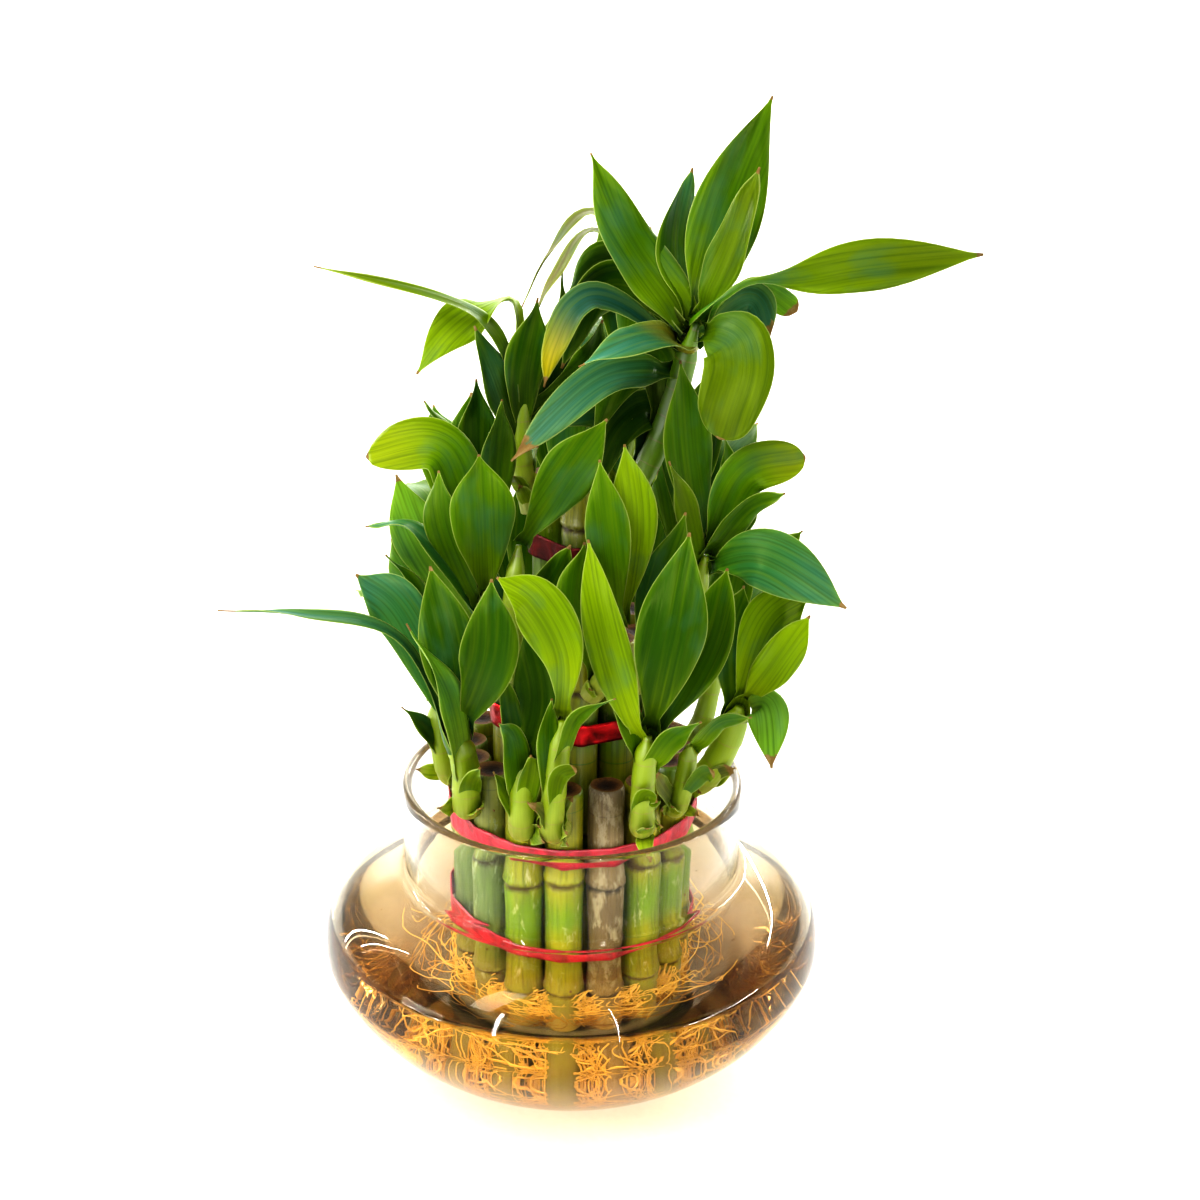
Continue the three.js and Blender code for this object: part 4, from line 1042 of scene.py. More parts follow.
# Each leaf row: place on the stem (0 to 1), full width, turn of its face from the front, colour
# look, the points that its midrib passes, then its twist and shape where it has them.
FRONT_SHOOTS = [
    {
        "name": "shoot_top_right", "tier": "top", "cane": 0, "radius": (4.2, 3.4),
        "skin": ("#8A9A14", "#6A9006"),
        "stem": [(17, -5, 194), (27, -2, 215), (35, 0, 244)],
        "leaves": [
            (0.97, 17, 8, "fresh", [(15, 6, 267), (4, 14, 290)], 0, "broad"),
            (0.97, 18, 30, "banded", [(30, 12, 264), (34, 25, 284)], 0, "lance"),
            (0.99, 21, 5, "fresh", [(43.4, 8, 275), (56, 18, 306)], 0, "lance"),
            (0.99, 14, -35, "olive", [(44, -6, 268), (51, -6, 290)], 0, "lance"),
            (0.98, 15, 68, "sunset", [
                (46, -15, 259), (62, -20, 262.5), (82, -18, 265.5), (115, -8, 266.5),
            ], -65, "late"),
            (0.97, 20, 4, "folded", [
                (41, -12, 244), (45, -20, 243), (46, -24, 236), (43, -26, 225), (41, -26, 217),
            ], 0, "blunt"),
            (0.93, 17, 40, "sheen", [(19, -22, 245), (1, -30, 239)], 0, "broad"),
            (0.85, 16, 20, "blue", [(7, -16, 231), (-18, -26, 210)], 0, "lance"),
            (0.92, 11, 20, "gilded", [(10, 2, 250), (0, -2, 249), (-6, -6, 238), (-9, -6, 226)], 0, "lance"),
            (0.95, 16, -30, "dark", [(16, 12, 252), (4, 8, 249), (-4, 0, 230)]),
            (0.99, 7, 60, "straw", [(7, 30, 269), (-8, 30, 257), (-17, 26, 240)]),
            (0.95, 7, 60, "straw", [(7, 20, 266), (-6, 18, 253), (-14, 12, 238)]),
            (0.93, 14, 30, "dark", [(11, 26, 255), (-3, 24, 245)]),
            (0.97, 11, 55, "pale", [(53, 14, 250), (66, 18, 243)], 0, "blunt"),
            (0.93, 13, 30, "blue", [(51, 10, 248), (57, 8, 235)]),
            (0.6, 15, -20, "dark", [(24, 4, 232), (13, 0, 227), (5, -5, 208)], 0, "lance"),
            (0.4, 14, 20, "dark", [(22, 2, 216), (13, -3, 211), (6, -6, 193)], 0, "lance"),
        ],
    },
    {
        "name": "shoot_top_left", "tier": "top", "cane": 2, "radius": (3.8, 2.8),
        "stem": [(-15, 1, 196), (-16, 2, 208), (-16, 4, 228)],
        "leaves": [
            (0.9, 7, 40, "olive", [(-24, -2, 242), (-39, -4, 252), (-75, 0, 259.5)], 0, "lance"),
            (0.98, 15, 65, "lime", [
                (-18, 8, 247), (-28, 4, 246), (-37, 0, 240), (-46, -4, 229),
            ], -65, "pointed"),
            (0.6, 14, 25, "dark", [(-15, 0, 229), (-11, 4, 250)]),
            (0.7, 13, 40, "deep", [(-7, 8, 223), (-6, 12, 245)]),
            (0.9, 10, 30, "green", [(-5, 16, 237), (-4, 20, 254)]),
            (0.8, 12, 30, "deep", [(3, 10, 227), (8, 14, 241)]),
            (0.5, 12, 30, "dark", [(-22, -4, 225), (-29, -6, 244)]),
            (0.7, 13, 10, "dark", [(8, 10, 214), (14, 5, 193)]),
        ],
    },
    {
        "name": "shoot_middle_left", "tier": "middle", "cane": 8, "radius": (4.2, 3),
        "stem": [(-26, -12, 141), (-26, -16, 152), (-26, -18, 167)],
        "leaves": [
            (0.9, 19, 0, "fresh", [(-26, -31, 194), (-27, -29, 213)]),
            (0.95, 17, 15, "thorn", [(-33, -14, 198), (-41, -12, 210), (-61, -8, 205)], 0, "blunt"),
            (0.98, 9, 40, "green", [(-36, -6, 207), (-44, -4, 221)]),
            (0.98, 14, 30, "deep", [(-29, -2, 202), (-29, 2, 226)]),
            (0.85, 12, 40, "green", [(-23, -13, 205), (-21, -12, 224)]),
            (0.6, 16, -20, "pale", [(-44, -14, 180), (-52, -12, 201)]),
            (0.8, 9, 50, "teal", [(-46, -24, 188), (-60, -26, 190)]),
            (0.75, 12, -20, "fresh", [(-37, -22, 188), (-39, -20, 205)]),
        ],
    },
    {
        "name": "shoot_middle_front_left", "tier": "middle", "cane": 9, "radius": (3.6, 2.6),
        "stem": [(-17, -24, 143), (-18, -24, 164), (-16, -22, 183)],
        "leaves": [
            (0.98, 16, 10, "green", [(-3, -27, 205), (9, -30, 224)]),
            (0.6, 13, 30, "deep", [(-8, -26, 171), (-1, -24, 184)]),
        ],
    },
    {
        "name": "shoot_middle_front", "tier": "middle", "cane": 0, "radius": (3.6, 2.8),
        "stem": [(9, -28, 143), (12, -29, 152), (14, -29, 161)],
        "leaves": [
            (0.95, 14, 10, "lime", [(17, -32, 192), (14, -28, 216)]),
            (0.9, 13, -15, "fresh", [(10, -36, 190), (7, -33, 213)]),
            (0.2, 14, 25, "fresh", [(1, -31, 166), (3, -27, 186)]),
        ],
    },
    {
        "name": "shoot_middle_right", "tier": "middle", "cane": 1, "radius": (4, 3),
        "stem": [(27, -18, 143), (34, -16, 157), (39, -14, 177)],
        "leaves": [
            (0.97, 15, 10, "green", [(33, -14, 207), (30, -12, 236)]),
            (0.9, 8, 30, "olive", [(32, -20, 195), (27, -22, 209)]),
            (0.99, 14, 15, "thorn", [(49, -16, 203), (67, -14, 208)], 0, "blunt"),
            (0.97, 9, 40, "green", [(50, -20, 194), (61, -20, 199)]),
            (0.95, 19, 0, "teal", [(55, -26, 181), (79, -32, 168)]),
            (0.93, 9, 50, "deep", [(60, -10, 178), (68, -8, 183)]),
            (0.99, 8, 40, "green", [(45, -8, 199), (44, -6, 212)]),
            (0.99, 8, 30, "deep", [(50, -10, 187), (52, -10, 193)]),
        ],
    },
    {
        "name": "shoot_lower_left", "tier": "lower", "cane": 13, "radius": (4.6, 4.2),
        "stem": [(-32, -26, 100), (-32, -30, 114), (-34, -33, 127)],
        "leaves": [
            (0.6, 10, 50, "pale", [(-36, -44, 146), (-47, -48, 169)]),
            (0.95, 18, 0, "dark", [(-35, -40, 156), (-41, -34, 181)]),
            (0.95, 17, 0, "dark", [(-24, -48, 158), (-23, -46, 182)]),
            (0.2, 7, 20, "olive", [(-30, -38, 114), (-27, -42, 121)]),
            (0.8, 17, -10, "teal", [(-49, -30, 163), (-63, -28, 176)]),
            (0.75, 6, 60, "blue", [(-50, -38, 160), (-78, -42, 169), (-100.5, -44, 171)], 0, "lance"),
            (0.9, 6, 40, "deep", [(-44, -22, 165), (-55, -20, 179)]),
        ],
    },
    {
        "name": "shoot_lower_far_left", "tier": "lower", "cane": 12, "radius": (4, 3.2),
        "stem": [(-39, -4, 100), (-41, -8, 113), (-42, -8, 127)],
        "leaves": [
            (0.95, 14, 20, "blue", [(-46, -10, 148), (-49, -8, 163)]),
            (0.6, 8, 40, "dark", [(-45, -14, 120), (-52, -16, 128)]),
        ],
    },
    {
        "name": "shoot_lower_front_left", "tier": "lower", "cane": 15, "radius": (4.2, 3.6),
        "stem": [(-15, -39, 100), (-15, -42, 114), (-14, -43, 126)],
        "leaves": [
            (0.15, 6, 30, "olive", [(-20, -45, 115), (-23, -47, 122)]),
            (0.5, 9, 20, "green", [(-17, -50, 133), (-21, -54, 141)]),
            (0.4, 7, 20, "olive", [(-12, -48, 123), (-12, -50, 129)]),
            (0.9, 15, 10, "deep", [(-10, -40, 142), (-14, -37, 163)]),
            (0.8, 10, 30, "green", [(-18, -43, 138), (-20, -40, 150)]),
        ],
    },
    {
        "name": "shoot_lower_front", "tier": "lower", "cane": 0, "radius": (4, 3.4),
        "stem": [(-6, -42, 101), (-5, -45, 118), (-3, -48, 139)],
        "leaves": [
            (0.97, 16, 0, "lime", [(-3, -56, 163), (-11, -60, 181), (-21, -60, 188)]),
            (0.4, 6, 30, "olive", [(-4, -52, 123), (1, -54, 127)], 0, "blunt"),
            (0.2, 6, 30, "straw", [(-9, -47, 109), (-13, -49, 113)]),
            (0.7, 7, 50, "fresh", [(1, -54, 143), (12, -56, 150)]),
            (0.5, 8, 30, "fresh", [(-7, -49, 135), (-6, -50, 147)]),
        ],
    },
    {
        "name": "shoot_lower_front_right", "tier": "lower", "cane": 2, "radius": (4, 3.4),
        "stem": [(21, -38, 100), (21, -40, 116), (22, -41, 131)],
        "leaves": [
            (0.85, 14, -30, "lime", [(14, -47, 148), (8, -46, 171), (4, -38, 191)]),
            (0.98, 20, 0, "dark", [(27, -52, 166), (32, -48, 197)]),
            (0.9, 17, -20, "green", [(38, -38, 157), (44, -34, 181)]),
            (0.7, 9, 35, "fresh", [(29, -46, 133), (37, -48, 139)]),
            (0.1, 9, 20, "olive", [(22, -44, 112), (25, -46, 112)]),
            (0.95, 15, 20, "deep", [(25, -27, 168), (32, -26, 195)]),
            (0.8, 9, 20, "green", [(14, -42, 143), (10, -42, 157)]),
        ],
    },
    {
        "name": "shoot_lower_right", "tier": "lower", "cane": 3, "radius": (3.6, 2.8),
        "stem": [(32, -26, 100), (34, -28, 111), (35, -29, 122)],
        "leaves": [
            (0.4, 6, 30, "olive", [(38, -34, 114), (42, -36, 117)], 0, "blunt"),
            (0.3, 6, 30, "straw", [(27, -34, 111), (24, -36, 118)]),
            (0.9, 8, 40, "fresh", [(43, -32, 131), (53, -32, 133)]),
        ],
    },
    {
        "name": "shoot_lower_far_right", "tier": "lower", "cane": 4, "radius": (4.8, 4.2),
        "stem": [(41, -9, 101), (47, -13, 114), (51, -14, 128)],
        "leaves": [
            (0.97, 13, 0, "pale", [(58, -22, 131), (60, -28, 114)]),
            (0.85, 17, 0, "lime", [(58, -16, 155), (70, -18, 167)]),
            (0.95, 14, 15, "lime", [(60, -24, 147), (69, -28, 164)]),
            (0.8, 13, 20, "deep", [(47, -12, 149), (51, -10, 166)]),
            (0.25, 6, 40, "straw", [(46, -16, 107), (50, -18, 109)]),
        ],
    },
]
# The back shoots follow one rule: each leans out from its cane and fans its leaves to both
# sides. A row holds the name, tier and cane, the heading in degrees from the front towards +X,
# how far the stem reaches out and up, and how long the leaves are.
BACK_PARTS = ("name", "tier", "cane", "heading", "reach", "rise", "length")
BACK_SHOOTS = [
    ("shoot_top_back", "top", 1, 178, 12, 30, 56),
    ("shoot_middle_back_right", "middle", 3, 170, 12, 36, 58),
    ("shoot_middle_back", "middle", 5, 186, 13, 34, 60),
    ("shoot_middle_back_left", "middle", 7, 182, 10, 34, 48),
    ("shoot_lower_back_1", "lower", 5, 160, 9, 30, 48),
    ("shoot_lower_back_2", "lower", 7, 172, 10, 26, 56),
    ("shoot_lower_back_3", "lower", 9, 186, 10, 28, 56),
    ("shoot_lower_back_4", "lower", 11, 196, 9, 30, 44),
]
BACK_STEM = ((0.3, 0.2), (0.7, 0.5), (1, 1))
BACK_RADIUS = (4, 3)
BACK_LEAVES = 4
BACK_FAN = 24
BACK_WANDER = 6
BACK_STEEP = 76
BACK_STEP = 11
BACK_DROOP = 30
BACK_WIDTH = 17
BACK_LEAN = 0.4
BACK_FIRST = 0.99
BACK_SPACING = 0.07
BACK_LOOKS = ["fresh", "deep", "green", "dark"]
# Marks per millimetre across and along a leaf or stem. Veins are drawn 0.7 mm apart, since the
# real ones are too fine to show. Streaks are 1.7 mm wide, patches of bloom 9 mm by 22 mm and
# dry spots 2 mm by 3 mm. Fibres in a stem are 1 mm wide.
LEAF_VEINS = (1.5, 0.02, 1)
LEAF_STREAKS = (0.6, 0.018, 1)
LEAF_BLOOM = (0.11, 0.045, 1)
DRY_SPOTS = (0.5, 0.35, 1)
STEM_FIBRES = (0.9, 0.09, 1)


def green_colour(tree, where, colour, edge, vein, streak):
    """Living green: lighter streaks, darker veins, and lighter again near the margin, as painted light that
    seems to shine through the thin blade.
    """
    light = add_node(tree, "ShaderNodeMapRange", {0: streak, 1: 0.45, 2: 0.75, 4: 0.32})
    bright = add_node(tree, "ShaderNodeMix", {0: light, 6: colour, 7: linear("#7E9604")}, data_type="RGBA")
    shade = add_node(tree, "ShaderNodeMapRange", {0: vein, 1: 0.42, 2: 0.7, 4: 0.45})
    veined = add_node(tree, "ShaderNodeMix", {0: shade, 6: bright, 7: linear("#1E4206")}, data_type="RGBA")
    # Painted light: lighter green within 2.2 mm of the margin, as if light shone through the thin blade
    painted_glow_share = add_node(tree, "ShaderNodeMapRange", {0: edge, 1: 0.0, 2: 2.2, 3: 0.2, 4: 0.0})
    painted_glow_green = add_node(tree, "ShaderNodeMix", {0: painted_glow_share, 6: veined, 7: linear("#8CB004")}, data_type="RGBA")
    bloom = drawn_out(tree, where, LEAF_BLOOM, 3)
    hazy = add_node(tree, "ShaderNodeMapRange", {0: bloom, 1: 0.52, 2: 0.72, 4: 0.45})
    bloomed = add_node(tree, "ShaderNodeMix", {0: hazy, 6: painted_glow_green, 7: linear("#3A6E56")}, data_type="RGBA")
    rim = add_node(tree, "ShaderNodeMapRange", {0: edge, 1: 0.1, 2: 0.36, 3: 0.5, 4: 0.0})
    return add_node(tree, "ShaderNodeMix", {0: rim, 6: bloomed, 7: linear("#C4D076")}, data_type="RGBA")


def leaf_material():
    """Living leaf under cuticle wax: an even satin gloss over fine veins, a blue-green bloom in
    patches, a pale line along the margin, and a dull brown tip where the leaf has dried."""
    material, tree, output = new_material("waxy_leaf")
    where = add_node(tree, "ShaderNodeAttribute", attribute_name="leaf_mm").outputs["Vector"]
    colour = add_node(tree, "ShaderNodeAttribute", attribute_name="leaf_colour").outputs["Color"]
    edge = add_node(tree, "ShaderNodeAttribute", attribute_name="leaf_edge_mm").outputs["Fac"]
    dry = add_node(tree, "ShaderNodeAttribute", attribute_name="leaf_dry").outputs["Fac"]
    vein = drawn_out(tree, where, LEAF_VEINS, 2)
    streak = drawn_out(tree, where, LEAF_STREAKS, 2)
    living = green_colour(tree, where, colour, edge, vein, streak)
    spot = drawn_out(tree, where, DRY_SPOTS, 5, 0.65)
    ragged = add_node(tree, "ShaderNodeMath", {0: spot, 1: 0.8, 2: dry}, operation="MULTIPLY_ADD")
    withered = add_node(tree, "ShaderNodeMapRange", {0: ragged, 1: 0.86, 2: 0.96})
    brown = add_node(tree, "ShaderNodeValToRGB", {0: spot}, stops=[
        (0, "#5E4426"), (0.5, "#8A6E42"), (1, "#C4AE80"),
    ])
    tipped = add_node(tree, "ShaderNodeMix", {0: withered, 6: living, 7: brown}, data_type="RGBA")
    gloss = add_node(tree, "ShaderNodeMapRange", {0: spot, 1: 0.3, 2: 0.7, 3: 0.32, 4: 0.46})
    rough = add_node(tree, "ShaderNodeMix", {0: withered, 2: gloss, 3: 0.8})
    relief = add_node(tree, "ShaderNodeBump", {"Height": vein, "Distance": 0.12 * MM, "Strength": 0.4})
    ripple = add_node(tree, "ShaderNodeBump", {
        "Height": streak, "Distance": 0.6 * MM, "Strength": 0.35, "Normal": relief,
    })
    blade = add_node(tree, "ShaderNodeBsdfPrincipled", {
        "Base Color": tipped, "Roughness": rough, "Normal": ripple, "Specular IOR Level": 0.2,
        "Specular Tint": linear("#C8D878"),
    })
    tree.links.new(blade.outputs[0], output.inputs["Surface"])
    return material


def stem_material():
    """Young stem: yellow-green and fleshy under a thin wax, tan and papery in the leaf scars."""
    material, tree, output = new_material("fleshy_stem")
    where = add_node(tree, "ShaderNodeAttribute", attribute_name="leaf_mm").outputs["Vector"]
    along = add_node(tree, "ShaderNodeSeparateXYZ", {0: where}).outputs["Y"]
    colour = add_node(tree, "ShaderNodeAttribute", attribute_name="leaf_colour").outputs["Color"]
    fibre = drawn_out(tree, where, STEM_FIBRES, 4)
    ring = add_node(tree, "ShaderNodeMath", {0: along, 1: STEM_RING, 2: 0.0}, operation="WRAP")
    ragged = add_node(tree, "ShaderNodeMath", {0: fibre, 1: 1.2, 2: ring}, operation="MULTIPLY_ADD")
    scar = add_node(tree, "ShaderNodeMapRange", {0: ragged, 1: 0.75, 2: 1.1, 3: 0.3, 4: 0.0})
    dull = add_node(tree, "ShaderNodeMapRange", {0: fibre, 1: 0.45, 2: 0.75, 4: 0.5})
    lined = add_node(tree, "ShaderNodeMix", {0: dull, 6: colour, 7: linear("#76940A")}, data_type="RGBA")
    scarred = add_node(tree, "ShaderNodeMix", {0: scar, 6: lined, 7: linear("#A8865A")}, data_type="RGBA")
    rough = add_node(tree, "ShaderNodeMapRange", {0: fibre, 3: 0.34, 4: 0.55})
    relief = add_node(tree, "ShaderNodeBump", {"Height": ragged, "Distance": 0.4 * MM, "Strength": 0.3})
    skin = add_node(tree, "ShaderNodeBsdfPrincipled", {
        "Base Color": scarred, "Roughness": rough, "Normal": relief,
    })
    tree.links.new(skin.outputs[0], output.inputs["Surface"])
    return material


class Growth:
    """The points and faces of one shoot, with what the materials need to know at each point."""

    def __init__(self):
        self.points = []
        self.colours = []
        self.places = []
        self.edges = []
        self.dryness = []
        self.faces = []
        self.slots = []

    def add_point(self, point, colour, place, edge=9.0, dry=0.0):
        self.points.append(point * MM)
        self.colours.extend(colour)
        self.places.extend(place)
        self.edges.append(edge)
        self.dryness.append(dry)

    def add_faces(self, faces, slot):
        self.faces += faces
        self.slots += [slot] * len(faces)

    def to_object(self, name, materials):
        piece = mesh_object(name, self.points, self.faces, materials)
        mesh = piece.data
        mesh.polygons.foreach_set("material_index", self.slots)
        for mark, kind, key, values in (
            ("leaf_colour", "FLOAT_COLOR", "color", self.colours),
            ("leaf_mm", "FLOAT_VECTOR", "vector", self.places),
            ("leaf_edge_mm", "FLOAT", "value", self.edges),
            ("leaf_dry", "FLOAT", "value", self.dryness),
        ):
            mesh.attributes.new(mark, kind, "POINT").data.foreach_set(key, values)
        return piece


def curve_point(points, t):
    """A point on the smooth curve through the given ones, with t from 0 to 1 over its length."""
    last = len(points) - 1
    place = min(max(t, 0), 1) * last
    step = min(int(place), last - 1)
    u = place - step
    a = points[step]
    b = points[step + 1]
    before = points[step - 1] if step > 0 else 2 * a - b
    after = points[step + 2] if step + 2 <= last else 2 * b - a
    slope_a = (b - before) / 2
    slope_b = (after - a) / 2
    bend = 3 * (b - a) - 2 * slope_a - slope_b
    swell = 2 * (a - b) + slope_a + slope_b
    return a + slope_a * u + bend * u * u + swell * u ** 3


def curve_way(points, t):
    near = 0.0001
    return (curve_point(points, min(1, t + near)) - curve_point(points, max(0, t - near))).normalized()


def curve_length(points):
    steps = [curve_point(points, i / 12) for i in range(13)]
    return sum((a - b).length for a, b in zip(steps, steps[1:]))


def smooth_step(value, low, high):
    share = min(1, max(0, (value - low) / (high - low)))
    return share * share * (3 - 2 * share)


def leaf_share(s, shape):
    """How wide a leaf is along its length, as a share of its full width."""
    widest = shape["widest"]
    if s < widest:
        rise = math.sin(math.pi / 2 * s / widest) ** shape["rise"]
        return shape["neck"] + (1 - shape["neck"]) * rise
    q = (s - widest) / (1 - widest)
    if shape["tip_share"] > 0:
        return (1 - (1 - shape["tip_share"]) * q ** 4) * (1 - q ** 12) ** 0.5
    return max(0, math.cos(math.pi / 2 * q)) ** TIP_POWER


def mixed(a, b, share):
    return [x + (y - x) * share for x, y in zip(a, b)]


def look_colour(look, s):
    """The leaf's own colour at a place along it, from base to tip."""
    base, middle, tip = (linear(c) for c in look[:3])
    if s < 0.5:
        return mixed(base, middle, smooth_step(s, 0.08, 0.5))
    return mixed(middle, tip, smooth_step(s, 0.5, 0.95))


def leaf_habit(chance):
    """What differs from leaf to leaf: its number in the patterns, the start of its waves, how
    deep its gutter is, how far it leans over on its way, and how high its waves are."""
    return {
        "number": chance.uniform(0, 900), "wave": chance.uniform(0, 6),
        "cup": chance.uniform(0.18, 0.42), "lean": math.radians(chance.uniform(-14, 14)),
        "waviness": chance.uniform(0.07, 0.13),
    }


def leaf_row(s, width, half, curl, habit):
    """One row of a leaf, over its upper skin and back under it: where each point is across the
    leaf from -1 to 1, how far it is to the side and how far it is lifted."""
    fade = smooth_step(s, 0.2, 0.5) * (1 - smooth_step(s, 0.85, 1))
    row = []
    for skin in (1, -1):
        for j in range(LEAF_ACROSS + 1):
            across = skin * (2 * j / LEAF_ACROSS - 1)
            out = math.sin(curl * across) / curl
            lift = (1 - math.cos(curl * across)) / curl
            wave = math.sin(9 * s + habit["wave"] + 1.3 * across)
            ripple = habit["waviness"] * width * across ** 2 * wave * fade
            thick = LEAF_THICK * (0.5 - 0.34 * abs(across))
            row.append((across, half * out, half * lift + ripple + skin * thick))
    return row


def add_leaf(growth, midrib, width, face_to, turn, look_name, twist, shape_name, grip, chance):
    """A gutter-shaped blade on its midrib, closed between its upper and its under skin, whose
    base wraps round a stem of the radius that it grips."""
    shape = SHAPES[shape_name]
    look = LEAF_LOOKS[look_name]
    length = curve_length(midrib)
    habit = leaf_habit(chance)
    number = habit["number"]
    clasp = 1.2 * smooth_step(width, 7, 18)
    first = len(growth.points)
    for i in range(LEAF_ROWS + 1):
        s = (i / LEAF_ROWS) ** 0.92
        along = curve_way(midrib, s)
        face = (face_to - along * face_to.dot(along)).normalized()
        turned = math.radians(turn + twist * smooth_step(s, TWIST_FROM, TWIST_TO)) + habit["lean"] * s
        face.rotate(Quaternion(along, turned))
        side = along.cross(face)
        wrap = 1 - smooth_step(s, 0.0, SHEATH)
        half = max(TIP_WIDTH, width * leaf_share(s, shape), 2.8 * grip * wrap) / 2
        curl = habit["cup"] + max(clasp * (1 - smooth_step(s, 0.0, 0.3)), 1.1 * wrap if grip else 0)
        colour = look_colour(look, s)
        dry = smooth_step(s * length, length - 2 * look[3], length)
        middle = curve_point(midrib, s) - face * grip * 0.8 * wrap
        for across, out, lift in leaf_row(s, width, half, curl, habit):
            place = (across * half + number, s * length, number)
            point = middle + side * out + face * lift
            growth.add_point(point, colour, place, half * (1 - abs(across)), dry)
    close_leaf(growth, first)


def close_leaf(growth, first):
    """Faces round both skins of a leaf, whose margins nearly meet, and over its two ends."""
    ring = 2 * (LEAF_ACROSS + 1)
    for i in range(LEAF_ROWS):
        growth.add_faces(ring_faces(first + i * ring, first + (i + 1) * ring, ring), 0)
    last = first + LEAF_ROWS * ring
    for j in range(LEAF_ACROSS):
        under = ring - 2 - j
        growth.add_faces([
            (first + j, first + under + 1, first + under, first + j + 1),
            (last + j, last + j + 1, last + under, last + under + 1),
        ], 0)


def stem_radius(t, length, start_r, end_r):
    """The stem tapers in steps from scar to scar, is swollen at its foot and thin at its end."""
    step = (t * length) % STEM_RING / STEM_RING
    radius = (start_r + (end_r - start_r) * t) * (1.02 - 0.06 * step)
    return radius * (1 + 0.1 * (1 - smooth_step(t, 0, 0.3)) - 0.65 * smooth_step(t, 0.86, 1))


def add_stem(growth, stem, start_r, end_r, skin, chance):
    """A fleshy stem along its curve, pale at its foot and greener above, closed at both ends."""
    length = curve_length(stem)
    first = len(growth.points)
    pale, green = (linear(c) for c in skin)
    number = chance.uniform(0, 900)
    for i in range(STEM_ROWS + 1):
        t = i / STEM_ROWS
        along = curve_way(stem, t)
        side = Vector((0, 1, 0)).cross(along).normalized()
        other = along.cross(side)
        radius = stem_radius(t, length, start_r, end_r)
        shade = mixed(pale, green, smooth_step(t, 0.0, 0.7))
        for j in range(STEM_SIDES):
            angle = 2 * math.pi * j / STEM_SIDES
            outward = side * math.cos(angle) + other * math.sin(angle)
            place = (radius * math.cos(angle) + number, t * length, number)
            growth.add_point(curve_point(stem, t) + outward * radius, shade, place)
    last = first + STEM_ROWS * STEM_SIDES
    for a in range(first, last, STEM_SIDES):
        growth.add_faces(ring_faces(a, a + STEM_SIDES, STEM_SIDES), 1)
    growth.add_faces([tuple(first + j for j in reversed(range(STEM_SIDES)))], 1)
    growth.add_faces([tuple(last + j for j in range(STEM_SIDES))], 1)


def up_and_in(root, tip):
    """The way a back leaf faces: up, and leaning in over the plant."""
    outward = Vector((tip[0] - root.x, tip[1] - root.y, 0)).normalized()
    return UP - outward * BACK_LEAN


def stem_curve(shoot):
    """The stem leaves its cane at the height where the shoots of its tier break out."""
    tier = TIERS[shoot["tier"]]
    centre = cane_centre(tier, shoot["cane"])
    out = Vector((shoot["stem"][0][0], shoot["stem"][0][1], 0)) - centre
    start = centre + out.normalized() * (tier["radius"] - 1)
    start.z = SHOOTS_FROM[shoot["tier"]]
    return [start] + [Vector(p) for p in shoot["stem"]]


def add_scales(growth, stem, radius, chance):
    """Small fleshy scales that clasp the foot of the stem, left from the bud."""
    for i in range(SCALES):
        t = 0.08 + 0.13 * i
        along = curve_way(stem, t)
        angle = chance.uniform(0, 2 * math.pi) if i else chance.uniform(-0.8, 0.8)
        outward = Vector((math.sin(angle), -math.cos(angle), 0))
        outward = (outward - along * outward.dot(along)).normalized()
        foot = curve_point(stem, t) + outward * radius * 0.82
        middle = foot + along * 4.5 + outward * 1.4
        tip = foot + along * 8.5 + outward * chance.uniform(3, 5)
        add_leaf(growth, [foot, middle, tip], radius * 1.5, -outward, 0, "scale", 0, "broad", 0, chance)


def add_row(growth, row, stem, end_r, from_behind, chance):
    """One leaf from its row. Where a row doesn't say, the leaf has no twist, and is pointed when
    it is wide and broad when it is narrow."""
    at, width, turn, look, path = row[:5]
    usual = (0, "pointed" if width > 10 else "broad")
    twist, shape = row[5:] if len(row) == 7 else usual
    root = curve_point(stem, at)
    first = root + (Vector(path[0]) - root).normalized() * end_r * ROOT_SHARE
    face_to = up_and_in(root, path[-1]) if from_behind else FRONT
    midrib = [first] + [Vector(p) for p in path]
    add_leaf(growth, midrib, width, face_to, turn, look, twist, shape, end_r, chance)


def make_shoot(shoot, leaf, skin):
    chance = random.Random(shoot["name"])
    stem = stem_curve(shoot)
    base_r, end_r = shoot["radius"]
    growth = Growth()
    add_stem(growth, stem, base_r, end_r, shoot.get("skin", STEM_SKIN), chance)
    add_scales(growth, stem, base_r, chance)
    for row in shoot["leaves"]:
        add_row(growth, row, stem, end_r, shoot.get("back"), chance)
    piece = growth.to_object(shoot["name"] + "_leaves", [leaf, skin])
    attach(piece, "root")
    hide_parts(shoot["name"])


def arch_path(root, heading, steep, droop, length):
    """Middle and tip of a leaf that starts steep and bends over evenly along its length."""
    first = math.radians(steep)
    bend = math.radians(droop)
    path = []
    for s in (0.5, 1):
        out = length / bend * (math.sin(first) - math.sin(first - bend * s))
        up = length / bend * (math.cos(first - bend * s) - math.cos(first))
        path.append((root.x + out * math.sin(heading), root.y - out * math.cos(heading), root.z + up))
    return path


def repeatable(seed):
    """The same run of numbers from 0 to 1 that the solid model draws its back shoots with."""
    state = seed
    while True:
        state = (state * 1103515245 + 12345) % 2147483648
        yield state / 2147483648


def back_stem(plan):
    """A stem that leans straight out from its tier and turns up."""
    tier = TIERS[plan["tier"]]
    centre = cane_centre(tier, plan["cane"])
    angle = math.atan2(centre.x, -centre.y)
    stem = []
    for out_share, up_share in BACK_STEM:
        far = tier["ring"] + tier["radius"] + plan["reach"] * out_share
        z = SHOOTS_FROM[plan["tier"]] + plan["rise"] * up_share
        stem.append((far * math.sin(angle), -far * math.cos(angle), z))
    return stem


